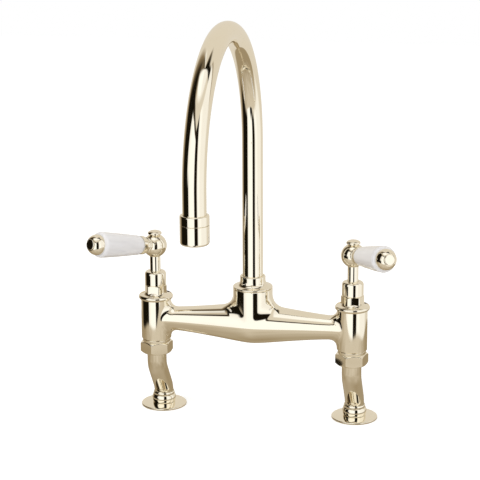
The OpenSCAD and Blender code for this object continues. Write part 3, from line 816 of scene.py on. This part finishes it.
finish_both(union_nut, "union_nut")

# %% [markdown]
# ## Headworks
#
# Above each barrel come a round bead, a skirt that curves in to a hexagon, and a round gland
# nut with a domed top where the spindle comes out. The polishing wheel has made the hexagon's
# flats bulge a little and has rounded its corners, so it isn't milled here. A round bar is
# drawn in to six arcs of a large radius instead, which meet softly at the corners.

# %% Bonnets
bonnet_af = 20.8
bead_r, bead_h = 17.3, 4.6
valve_thread_r = 10.45
disc_well_r, disc_well_h = 8.3, 18.9
gland_thread_r, gland_thread_h = 8.05, 6.8
spindle_r = 6
BUFFED_SEGMENTS = 288
FLAT_BULGE_R = 42
CORNER_POWER = 70


def buffed_hexagon(name, across_flats, low, high, turn):
    """A hexagonal bar with bulging flats. turn is the direction of one flat from +X."""
    half = across_flats / 2
    piece = lathe(name, stepped(low, (half, high)), BUFFED_SEGMENTS)
    p = points_of(piece.data)
    around = np.arctan2(p[:, 1], p[:, 0]) - math.radians(turn)
    back = FLAT_BULGE_R - half
    total = np.zeros(len(p))
    # a high power mean of the six flats' reaches rounds the corners between them
    for k in range(6):
        off = (around + k * math.pi / 3 + math.pi) % (2 * math.pi) - math.pi
        reach = -back * np.cos(off) + np.sqrt(FLAT_BULGE_R ** 2 - (back * np.sin(off)) ** 2)
        total += np.where(np.abs(off) < math.pi / 3, reach / half, 9.0) ** -CORNER_POWER
    scale = np.where(np.hypot(p[:, 0], p[:, 1]) > 1, total ** (-1 / CORNER_POWER), 1)
    p[:, :2] *= scale[:, None]
    set_points(piece.data, p)
    return piece


def bonnet(side, sign):
    low, top = span(side + "_bonnet")
    skirt_z = barrel_top + bead_h
    skirt = bead_r - bonnet_af / 2
    piece = buffed_hexagon("hexagon", bonnet_af, barrel_top + 1, top, bonnet_turns[side])
    blank = lathe("blank", chamfered(bonnet_af, barrel_top, top, lower=False))
    combine(piece, blank, "INTERSECT")
    outline = [(0, low), (valve_thread_r, low), (valve_thread_r, barrel_top)]
    outline += arc(bead_r - bead_h / 2, barrel_top + bead_h / 2, bead_h / 2, -90, 66, 14)
    outline += arc(bead_r - 1, skirt_z - 0.6 + skirt, skirt, 270, 200, 14)
    outline += [(0, skirt_z + skirt)]
    combine(piece, lathe("skirt", outline), "UNION")
    bore(piece, stepped(
        low - 1, (disc_well_r, low + disc_well_h), (spindle_r + FIT, top - gland_thread_h),
        (gland_thread_r, top + 1)))
    rename(piece, side + "_turned_bonnet")
    return place(piece, at_valve(sign))


finish_both(bonnet, "bonnet")


# %% Gland nuts
gland_r = 10.7
gland_edge = 2.3
gland_bore_r = 5.4
gland_shank_r = 8
gland_dome, gland_dome_h = 4, 3.4


def gland_nut(side, sign):
    low, top = span(side + "_gland_nut")
    foot = level(side + "_bonnet", top=True)
    dome_z = top - gland_dome
    outline = rounded([(spindle_r + FIT, low), (gland_shank_r, low),
                       (gland_shank_r, foot), (gland_r, foot, 0.35), (gland_r, foot + 2)])
    outline += arc(gland_r - gland_edge, dome_z, gland_edge, 0, 84, 14, gland_dome_h)
    outline += rounded([(gland_bore_r + 1.6, top - 0.25), (gland_bore_r, top, 0.3),
                        (gland_bore_r, foot + 1.3), (spindle_r + FIT, foot + 1.3)])
    return turned(side + "_domed_gland_nut", outline, at_valve(sign))


finish_both(gland_nut, "gland_nut")

# %% [markdown]
# ## Legs and feet
#
# Each leg comes down from its union nut, cranks back towards its hole in the worktop and ends
# in the foot. The crank is a straight slope between two equal bends, one each way. The slope's
# length and angle follow from the crank's height, its reach and the radius of the bends.

# %% Cranked legs
rose_top = level("left_foot_rose", top=True) - 2.9
crank_low = rose_top - 1.5
crank_top = 57.5
crank_r = 18
leg_wall = 2.75
flange_r, flange_h = 12, 2
tail_socket_r, tail_socket_h = 8.4, 10.5
crank_rise, crank_reach = crank_top - crank_low, -valve_y
slope_length = math.sqrt(crank_rise ** 2 + crank_reach ** 2 - 4 * crank_r * crank_reach)
crank_angle = math.atan2(crank_rise, 2 * crank_r - crank_reach) \
    - math.atan2(slope_length, 2 * crank_r)


def cranked_leg(side, sign):
    low, top = span(side + "_leg")
    leg = start_tube(side + "_cranked_leg", leg_r, sign * hole_x, 0, low)
    run_up(crank_low - low)
    bend_tube(math.degrees(crank_angle), -crank_r, crank_low, 24)
    run_up(slope_length * math.cos(crank_angle), -slope_length * math.sin(crank_angle))
    bend_tube(-math.degrees(crank_angle), valve_y + crank_r, crank_top, 24)
    run_up(top - crank_top)
    end_tube(leg, leg_wall)
    flange = [(leg_r - 1, top - flange_h), (flange_r, top - flange_h), (flange_r, top),
              (leg_r - 1, top)]
    combine(leg, turned("flange", flange, at_valve(sign)), "UNION")
    return bore(leg, stepped(low - 1, (tail_socket_r, low + tail_socket_h)), at_hole(sign))


finish_both(cranked_leg, "leg")

# %% [markdown]
# The rose is a thin flat plate with a tall rounded collar and a bead where the leg enters. The
# plate mirrors the collar, which makes the collar look twice as tall. Its underside has the
# groove for the gasket.

# %% Roses
rose_r = 23.3
rose_rim = 2
rose_plate = 3.3
rose_bead = 1.9
bead_round_r = leg_r + 1.1
waist_r = leg_r + 0.6
rose_collar_r = 12.2
collar_z, collar_half = 7.3, 4.7
groove_in_r, groove_out_r, groove_h = 13.9, 20.9, 1.7
tail_r = 10.48
tail_hole_r = tail_r + FIT


def rose(side, sign):
    leg_low = level(side + "_leg")
    outline = rounded([
        (tail_hole_r, 0), (groove_in_r, 0), (groove_in_r, groove_h), (groove_out_r, groove_h),
        (groove_out_r, 0), (rose_r, 0, 0.5), (rose_r, rose_rim, 0.7), (waist_r, rose_plate)])
    outline += arc(waist_r, collar_z, rose_collar_r - waist_r, -57, 75, 28, collar_half)
    outline += arc(waist_r, rose_top - rose_bead, bead_round_r - waist_r, -60, 90, 14, rose_bead)
    outline += [(leg_r + 0.25, rose_top), (leg_r + 0.25, leg_low), (tail_hole_r, leg_low)]
    return turned(side + "_turned_rose", outline, at_hole(sign))


finish_both(rose, "foot_rose")

# %% [markdown]
# ## Below the worktop
#
# A threaded tail goes down through each hole, and a backnut pulls the tap tight through a
# plate washer and a rubber washer. The thread is a true helix: the bar is turned with many
# rings, and each vertex is then drawn in by a depth that depends on its height and angle.

# %% Threaded tails
PITCH = 1.814
THREAD_DEPTH = 1.0
RING_STEP = 0.3
tail_bore_r = 6.2
tail_end_r = 8.35
relief_h, relief_depth = 2, 0.8


def rings(low, high):
    """Points up the tail's side, close enough for the thread to be drawn in from them."""
    count = round((high - low) / RING_STEP)
    return [(tail_r, low + (high - low) * i / count) for i in range(count + 1)]


def cut_thread(piece, low, high):
    p = points_of(piece.data)
    outer = np.hypot(p[:, 0], p[:, 1])
    turn = np.arctan2(p[:, 1], p[:, 0]) / (2 * math.pi)
    groove = np.abs(((p[:, 2] / PITCH - turn) % 1) * 2 - 1)
    fade = np.clip(np.minimum(p[:, 2] - low, high - p[:, 2]) / PITCH, 0, 1)
    depth = THREAD_DEPTH * np.clip(groove * 1.3 - 0.15, 0, 1) * fade
    on_thread = np.abs(outer - tail_r) < 0.01
    scale = np.where(on_thread, (outer - depth) / np.maximum(outer, 1e-6), 1)
    p[:, :2] *= scale[:, None]
    set_points(piece.data, p)


def threaded_tail(side, sign):
    low, top = span(side + "_tail")
    shoulder = level(side + "_leg")
    relief = level(side + "_backnut") - 1
    outline = [(tail_bore_r, low)] + rings(low, relief - relief_h)
    outline += [(tail_r - relief_depth, relief - relief_h), (tail_r - relief_depth, relief)]
    outline += rings(relief, -1) + [(tail_r, shoulder), (tail_end_r, shoulder),
                                    (tail_end_r, top), (tail_bore_r, top)]
    piece = lathe(side + "_threaded_tail", outline, 48)
    cut_thread(piece, low, relief - relief_h)
    cut_thread(piece, relief, -1)
    return place(piece, at_hole(sign))


finish_both(threaded_tail, "tail", slot="raw_brass")


# %% Backnuts
backnut_af = 30
nut_thread_r, nut_sink_r, nut_sink_h = 10.53, 12.2, 0.8


def backnut(side, sign):
    low, top = span(side + "_backnut")
    piece = milled_nut(backnut_af, low, top, 30)
    bore(piece, [(0, low - 1), (nut_sink_r, low - 1), (nut_thread_r, low + nut_sink_h),
                 (nut_thread_r, top - nut_sink_h), (nut_sink_r, top + 1), (0, top + 1)])
    rename(piece, side + "_milled_backnut")
    return place(piece, at_hole(sign))


finish_both(backnut, "backnut", slot="raw_brass")


# %% [markdown]
# ## Levers
#
# The two levers mirror each other. Every part of a lever is turned, either about the valve's
# axis or about the lever's own, so each is made upright and then placed by a matrix. The
# lever's axis starts at the middle of the ball and points outwards, forwards and a little up.

# %% The lever's frame
def lever_matrix(sign):
    """Takes +Z to the lever's direction and the origin to the ball's centre."""
    direction = Vector((sign * math.cos(lever_rise) * math.cos(lever_yaw),
                        -math.cos(lever_rise) * math.sin(lever_yaw), math.sin(lever_rise)))
    turn = Vector((0, 0, 1)).rotation_difference(direction).to_matrix().to_4x4()
    return at_valve(sign, ball_z) @ turn


# %% [markdown]
# The hub is three turned forms brazed together: a slim neck, a ball, and a cup that holds the
# porcelain and has a small ring behind it. Booleans join them and leave the fine creases that
# the brazed joints have.

# %% Lever hubs
ball_r = 12
ball_flat = ball_r - 1.2
hub_neck_r = 5.3
ferrule_r = 9.2
ferrule_end = 22.7
cup_depth = 3
grip_neck_r = 8.3
rod_r, rod_low = 2.5, 7.5
spindle_socket_r, spindle_socket_top = 3.95, ball_z - 4.9
screw_r = 2.7
screw_head_r, screw_head_low = 4.5, ball_z + 2


def ferrule_outline():
    """The cup with its ring, as points (radius, distance along the lever)."""
    ring, ring_r, ring_z = 1.3, 8.1, ball_r + 0.2
    waist_r, cup_z, cup_rise = 6.7, ferrule_end - cup_depth - 1.2, 3
    lip = 0.35
    outline = [(0, 5), (3.1, 5), (ring_r - ring, ring_z - ring)]
    outline += arc(ring_r - ring, ring_z, ring, -60, 75, 12)
    outline += [(waist_r + (ferrule_r - waist_r) * math.sin(a),
                 cup_z - cup_rise * math.cos(a)) for a in np.linspace(0, math.pi / 2, 15)]
    outline += arc(ferrule_r - lip, ferrule_end - lip, lip, 0, 180, 8)
    return outline + [(grip_neck_r + 0.1, ferrule_end - cup_depth), (0, ferrule_end - cup_depth)]


def lever_hub(side, sign):
    neck_low = level(side + "_lever_hub")
    upright = at_valve(sign)
    along = lever_matrix(sign)
    flat_r = math.sqrt(ball_r ** 2 - ball_flat ** 2)
    ball = [(0, -ball_r)] + arc(0, 0, ball_r, -88, 63, 40) + [(flat_r, ball_flat), (0, ball_flat)]
    piece = turned(side + "_brazed_hub", ball, at_valve(sign, ball_z))
    neck = stepped(neck_low, (hub_neck_r, ball_z - 6))
    combine(piece, turned("neck", neck, upright), "UNION")
    combine(piece, turned("ferrule", ferrule_outline(), along), "UNION")
    bore(piece, stepped(neck_low - 1, (spindle_socket_r, spindle_socket_top),
                        (screw_r, screw_head_low), (screw_head_r, ball_z + ball_r)), upright)
    return bore(piece, stepped(rod_low, (rod_r + FIT, ferrule_end)), along)


finish_both(lever_hub, "lever_hub", "lever")

# %% [markdown]
# A domed button on a short waist closes the top of the ball and hides the screw.

# %% Hub caps
button_r, button_edge = 7.0, 0.8
button_waist_r, button_waist_h = 4.9, 1.0
button_stem_r = 4.4


def hub_cap(side, sign):
    stem, top = span(side + "_hub_cap")
    flat = ball_z + ball_flat
    head = flat + button_waist_h
    outline = rounded([
        (0, stem), (button_stem_r, stem), (button_stem_r, flat), (button_waist_r, flat, 0.2),
        (button_waist_r - 0.3, head, 0.5), (button_r - button_edge, head)])
    outline += arc(button_r - button_edge, head + button_edge, button_edge, -90, 0, 8)
    outline += arc(0, head + button_edge, button_r, 2, 90, 24, radius_z=top - head - 1.3)
    return turned(side + "_hub_button", outline, at_valve(sign))


finish_both(hub_cap, "hub_cap", "lever")

# %% [markdown]
# The grip is rounded where it leaves the cup, swells slowly towards its outer end and turns in
# over a round shoulder.

# %% Porcelain grips
grip_end = 77
grip_r = 12.5
end_cap_r = 10.1
shoulder = 4
swell, swell_h = 1.4, 4
rod_hole_r = rod_r + 0.4


def grip(side, sign):
    start = ferrule_end - cup_depth
    from_z, wide_at = ferrule_end + swell_h, grip_end - shoulder
    swell_r, rim_r = grip_neck_r + swell, end_cap_r - 0.3
    quarter = np.linspace(0, math.pi / 2, 13)
    outline = [(rod_hole_r, start), (grip_neck_r, start)]
    outline += [(grip_neck_r + swell * math.sin(a), from_z - swell_h * math.cos(a))
                for a in quarter]
    for t in np.linspace(0, 1, 31)[1:]:
        share = 0.6 * t + 0.4 * math.sin(t * math.pi / 2)
        outline.append((swell_r + (grip_r - swell_r) * share, from_z + (wide_at - from_z) * t))
    outline += [(rim_r + (grip_r - rim_r) * math.cos(a), wide_at + shoulder * math.sin(a))
                for a in quarter[1:]]
    outline += [(rod_hole_r, grip_end)]
    return turned(side + "_porcelain_grip", outline, lever_matrix(sign))


finish_both(grip, "grip", "lever", "porcelain")


# %% [markdown]
# The end cap is a ball cut off at both ends. A flat round knob sits in a seat turned in its
# outer end and screws onto the rod that runs through the grip.

# %% End caps and knobs
cap_centre = grip_end + 1.5
tip_r = 5.3
seat_r = tip_r + 0.3
seat_depth = 0.5
seat_rim = cap_centre + math.sqrt(end_cap_r ** 2 - seat_r ** 2)
seat_z = seat_rim - seat_depth


def end_cap():
    low = -math.degrees(math.asin((cap_centre - grip_end) / end_cap_r))
    high = math.degrees(math.acos(seat_r / end_cap_r))
    outline = [(rod_r + FIT, grip_end)] + arc(0, cap_centre, end_cap_r, low, high - 1.5, 40)
    return outline + arc(seat_r + 0.2, seat_rim - 0.22, 0.2, 60, 180, 5) + [
        (seat_r, seat_z), (rod_r + FIT, seat_z)]


def tip_knob():
    stem, tip_h, edge = grip_end + 5.5, 1.3, 0.9
    outline = [(0, stem), (rod_r, stem), (rod_r, seat_z), (tip_r, seat_z)]
    outline += arc(tip_r - edge, seat_z + tip_h - edge, edge, 0, 90, 10)
    return outline + [(0, seat_z + tip_h)]


for side, sign in SIDES.items():
    for node, name, outline in (("_end_cap", "_domed_end_cap", end_cap()),
                                ("_tip_knob", "_tip_button", tip_knob())):
        finish_piece(turned(side + name, outline, lever_matrix(sign)), side + node,
                     side + "_lever")

# %% [markdown]
# ## What keeps its CAD mesh
#
# Gaskets, washers, seals, discs, spindles and rods are plain turned parts hidden inside. Their
# CAD meshes are right as they are, so they only get their finish.

# %% Finishes for the CAD parts
FINISH_BY_WORD = {
    "gasket": "rubber", "clamp_washer": "rubber", "union_washer": "rubber", "seal": "rubber",
    "orings": "rubber", "aerator_washer": "rubber", "plate_washer": "steel",
    "screw": "steel", "grip_rod": "steel", "disc": "disc_ceramic", "bearing": "nylon",
    "aerator_insert": "nylon", "spindle": "raw_brass", "spigot": "raw_brass"}


def finish_for(name):
    """The slot of the first word in the list that the node's name holds."""
    return next((slot for word, slot in FINISH_BY_WORD.items() if word in name), "plated_brass")


for name, node in nodes.items():
    coat(node, finish_for(name))
print("New pieces:", len(made), "CAD parts with a finish:", len(nodes))

# %% [markdown]
# ## Camera
#
# A long lens stands a metre and a half away, a little above the tap and slightly to its right.
# The camera's axes are worked out from its azimuth, elevation and roll.

# %% Camera
camera_azimuth = math.radians(12.232)
camera_elevation = math.radians(14.535)
camera_roll = math.radians(-0.286)
camera_place = Vector((294.46, -1441.99, 562.77)) * MM
ca, sa = math.cos(camera_azimuth), math.sin(camera_azimuth)
ce, se = math.cos(camera_elevation), math.sin(camera_elevation)
back = Vector((sa * ce, -ca * ce, se))
right = Vector((ca, sa, 0))
up = back.cross(right)
cr, sr = math.cos(camera_roll), math.sin(camera_roll)
right, up = right * cr + up * sr, up * cr - right * sr
camera_data = bpy.data.cameras.new("camera")
camera_data.sensor_width = 36
camera_data.lens = 113.75
camera = bpy.data.objects.new("camera", camera_data)
bpy.context.scene.collection.objects.link(camera)
axes = Matrix((right, up, back)).transposed().to_4x4()
camera.matrix_world = Matrix.Translation(camera_place) @ axes
bpy.context.scene.camera = camera

# %% [markdown]
# ## The studio
#
# Polished metal shows its surroundings, so a photographer lights it with large white panels
# and cuts the reflections with black flags. Here the panels and flags are painted into the
# world as rings, one above another, which only reflections see. Each ring is a colour ramp
# over the compass, with 0 behind the camera, and takes over from the ring below between two
# elevations. The panels' upper edge rises to both sides, and the two rings above it follow
# that. The camera itself sees a plain white room, and the diffuse light is even.

# %% The rings' colours
PANEL_SLOPE = 0.42
PANEL_LEFT, PANEL_RIGHT = -0.46, 0.3
DIFFUSE_LIGHT = 0.72
BLACK = (0.008, 0.006, 0.003)
SHADE = (0.045, 0.032, 0.018)
DIM = (0.15, 0.115, 0.07)
BROWN = (0.27, 0.2, 0.115)
TAN = (0.50, 0.42, 0.31)
BEIGE = (0.75, 0.69, 0.59)
CREAM = (0.98, 0.96, 0.92)
WHITE = (1.12, 1.12, 1.10)
BEHIND_LEFT = [(-180, BEIGE), (-152, BEIGE), (-138, TAN), (-124, BROWN), (-111, BLACK)]
HIGH_LEFT = [(-180, BEIGE), (-150, BEIGE), (-138, BROWN), (-124, SHADE), (-114, BLACK)]
FRONT = [(-68, BLACK), (-63, CREAM), (-40, WHITE), (-1, WHITE), (2, BLACK), (25, BLACK)]
FRONT_RIGHT = [(28, CREAM), (40, WHITE), (60, CREAM), (98, CREAM), (114, BEIGE), (180, BEIGE)]
HIGH_RIGHT = FRONT_RIGHT[:3] + [(92, CREAM), (103, CREAM), (107, BROWN), (111, BEIGE),
                                (180, BEIGE)]
# elevations between which a ring takes over, whether it follows the panels' edge, and stops
RINGS = [
    (None, False, [(-180, BEIGE), (-150, TAN), (-122, DIM), (-104, BLACK), (-88, BLACK),
                   (-74, TAN), (-50, CREAM), (-40, WHITE), (-20, WHITE), (-14, BLACK),
                   (8, BLACK), (16, BEIGE), (60, BEIGE), (80, TAN), (100, BEIGE),
                   (180, BEIGE)]),
    ((-42, -33), False, BEHIND_LEFT + [(-56, BLACK), (-53, CREAM), (-34, WHITE), (-2, WHITE),
                                       (1, BLACK), (24, BLACK)] + FRONT_RIGHT),
    ((-8, 4), False, BEHIND_LEFT + FRONT + FRONT_RIGHT),
    ((8, 14), False, HIGH_LEFT + FRONT + HIGH_RIGHT),
    ((28, 30), True, HIGH_LEFT + [(-63, BLACK), (-58, SHADE), (0, SHADE), (3, BLACK),
                                  (24, BLACK)] + HIGH_RIGHT),
    ((35.5, 38.5), True, HIGH_LEFT[:4] + [(-110, SHADE), (-90, DIM), (-70, TAN), (-58, BEIGE),
                                          (80, BEIGE), (84, BLACK), (97, BLACK), (103, BEIGE),
                                          (180, BEIGE)]),
    ((58, 66), False, [(-180, BEIGE), (-160, BEIGE), (-148, CREAM), (-138, DIM), (-112, DIM),
                       (-98, CREAM), (-80, WHITE), (-16, WHITE), (24, CREAM), (80, CREAM),
                       (88, BLACK), (112, BLACK), (132, DIM), (146, BEIGE),
                       (180, BEIGE)])]


# %% World
def ramp(tree, bearing, stops):
    """A colour ramp from (degrees, colour) stops over a full turn from -180 to 180."""
    node = new_node(tree, "ValToRGB", {"Fac": bearing})
    elements = node.color_ramp.elements
    while len(elements) > 1:
        elements.remove(elements[-1])
    for i, (degrees, colour) in enumerate(stops):
        at = (degrees + 180) / 360
        stop = elements[0] if i == 0 else elements.new(at)
        stop.position = at
        stop.color = (*colour, 1)
    return node.outputs["Color"]


world = bpy.data.worlds.new("studio")
bpy.context.scene.world = world
world.use_nodes = True
sky = world.node_tree
sky.nodes.clear()
facing = new_node(sky, "VectorRotate", {
    "Vector": new_node(sky, "TexCoord").outputs["Generated"],
    "Angle": -camera_azimuth}, rotation_type="Z_AXIS")
across, away, height = new_node(sky, "SeparateXYZ", {"Vector": facing.outputs["Vector"]}).outputs
bearing = calculate(sky, "ARCTAN2", across, calculate(sky, "MULTIPLY", away, -1.0))
bearing = calculate(sky, "MULTIPLY_ADD", bearing, 1 / (2 * math.pi), 0.5)
aside = calculate(sky, "MINIMUM", across, PANEL_RIGHT)
aside = calculate(sky, "ABSOLUTE", calculate(sky, "MAXIMUM", aside, PANEL_LEFT))
panel_height = calculate(sky, "MULTIPLY_ADD", aside, -PANEL_SLOPE, height)
seen_colour = None
for takes_over, follows_panel, stops in RINGS:
    ring = ramp(sky, bearing, stops)
    if takes_over is None:
        seen_colour = ring
        continue
    start, end = (math.sin(math.radians(degrees)) for degrees in takes_over)
    share = rise(sky, panel_height if follows_panel else height, start, end)
    seen_colour = mix_colours(sky, share, seen_colour, ring)


def background(colour=(1, 1, 1, 1), strength=1.0):
    return new_node(sky, "Background", {"Color": colour, "Strength": strength}
                    ).outputs["Background"]


rays = new_node(sky, "LightPath").outputs
lit = mix_shaders(sky, rays["Is Glossy Ray"], background(strength=DIFFUSE_LIGHT),
                  background(seen_colour))
new_node(sky, "OutputWorld", {
    "Surface": mix_shaders(sky, rays["Is Camera Ray"], lit, background())})

# %% [markdown]
# The worktop under the tap is a white sweep. In reflections it shows as a warm card of limited
# size, which is what turns the legs and the underside of the bridge tan. The card is darker
# towards the back and on the left, with soft streaks, and at a grazing angle its gloss shows
# the room instead.

# %% Floor
FLOOR_SIZE = 6.0
FLOOR_WHITE, FLOOR_LIFT = 0.9, 0.37
CARD_HALF = (0.395, 0.33)
CARD_FRONT = (0.66, 0.59, 0.48, 1)
CARD_BACK = (0.36, 0.285, 0.18, 1)
# edges of soft steps: the card's outline, its gloss by angle and its tone towards the back
CARD_EDGE = (0.96, 1.12)
GRAZING = (0.72, 0.8)
TONE_STEP = (-0.24, 0.04)
TONE_LINE, TONE_BY_X = 0.15, -0.25
STREAK_SCALE, STREAK_SHARE = 11, 0.3
deselect()
bpy.ops.mesh.primitive_plane_add(size=FLOOR_SIZE)
floor = bpy.context.object
rename(floor, "floor")
material = bpy.data.materials.new("white_sweep")
material.use_nodes = True
sweep = material.node_tree
paint = sweep.nodes["Principled BSDF"]
paint.inputs["Base Color"].default_value = (FLOOR_WHITE, FLOOR_WHITE, FLOOR_WHITE, 1)
paint.inputs["Roughness"].default_value = 0.9
paint.inputs["Specular IOR Level"].default_value = 0.0
rays = new_node(sweep, "LightPath").outputs
dark, lift = (new_node(sweep, "Emission", {"Strength": strength}).outputs["Emission"]
              for strength in (0.0, FLOOR_LIFT))
lift = mix_shaders(sweep, rays["Is Camera Ray"], dark, lift)
white = new_node(sweep, "AddShader", {0: paint.outputs["BSDF"], 1: lift}).outputs["Shader"]

where = new_node(sweep, "TexCoord").outputs["Object"]
floor_x, floor_y, _ = new_node(sweep, "SeparateXYZ", {"Vector": where}).outputs
# the card's outline lies between an ellipse and a rectangle: the powers add up to 1 on it
reach = [calculate(sweep, "ABSOLUTE", calculate(sweep, "DIVIDE", along, half))
         for along, half in ((floor_x, CARD_HALF[0]), (floor_y, CARD_HALF[1]))]
reach = [calculate(sweep, "POWER", share, 3) for share in reach]
outside = rise(sweep, calculate(sweep, "ADD", *reach), *CARD_EDGE)
gloss = rise(sweep, new_node(sweep, "LayerWeight").outputs["Facing"], *GRAZING)
backwards = calculate(sweep, "MULTIPLY_ADD", noise(sweep, where, STREAK_SCALE, 1),
                      STREAK_SHARE, calculate(sweep, "SUBTRACT", floor_y, TONE_LINE))
backwards = calculate(sweep, "MULTIPLY_ADD", floor_x, TONE_BY_X, backwards)
tone = mix_colours(sweep, rise(sweep, backwards, *TONE_STEP), CARD_FRONT, CARD_BACK)
card = mix_shaders(sweep, calculate(sweep, "MAXIMUM", outside, gloss),
                   new_node(sweep, "Emission", {"Color": tone}).outputs["Emission"],
                   new_node(sweep, "BsdfTransparent").outputs["BSDF"])
sweep.links.new(mix_shaders(sweep, rays["Is Glossy Ray"], white, card),
                sweep.nodes["Material Output"].inputs["Surface"])
floor.data.materials.append(material)


# %% [markdown]
# Two large soft lamps model the porcelain and give the tap a faint shadow. They are kept out
# of reflections, because the world already holds every panel that the metal shows.

# %% Lamps
def soft_lamp(name, at, aim, size, power):
    data = bpy.data.lights.new(name, "AREA")
    data.shape = "DISK"
    data.size = size
    data.energy = power
    lamp = bpy.data.objects.new(name, data)
    bpy.context.scene.collection.objects.link(lamp)
    lamp.location = at
    lamp.rotation_euler = (Vector(aim) - Vector(at)).to_track_quat("-Z", "Y").to_euler()
    lamp.visible_glossy = False


soft_lamp("key_lamp", (-0.9, -1.3, 1.7), (0, 0, 0.15), 1.2, 14)
soft_lamp("fill_lamp", (1.5, -0.6, 1.2), (0, 0, 0.15), 1.4, 5)

# %% [markdown]
# ## Output
#
# The view transform is Standard, so a colour is shown as it is written.

# %% Finish
bpy.context.scene.view_settings.view_transform = "Standard"
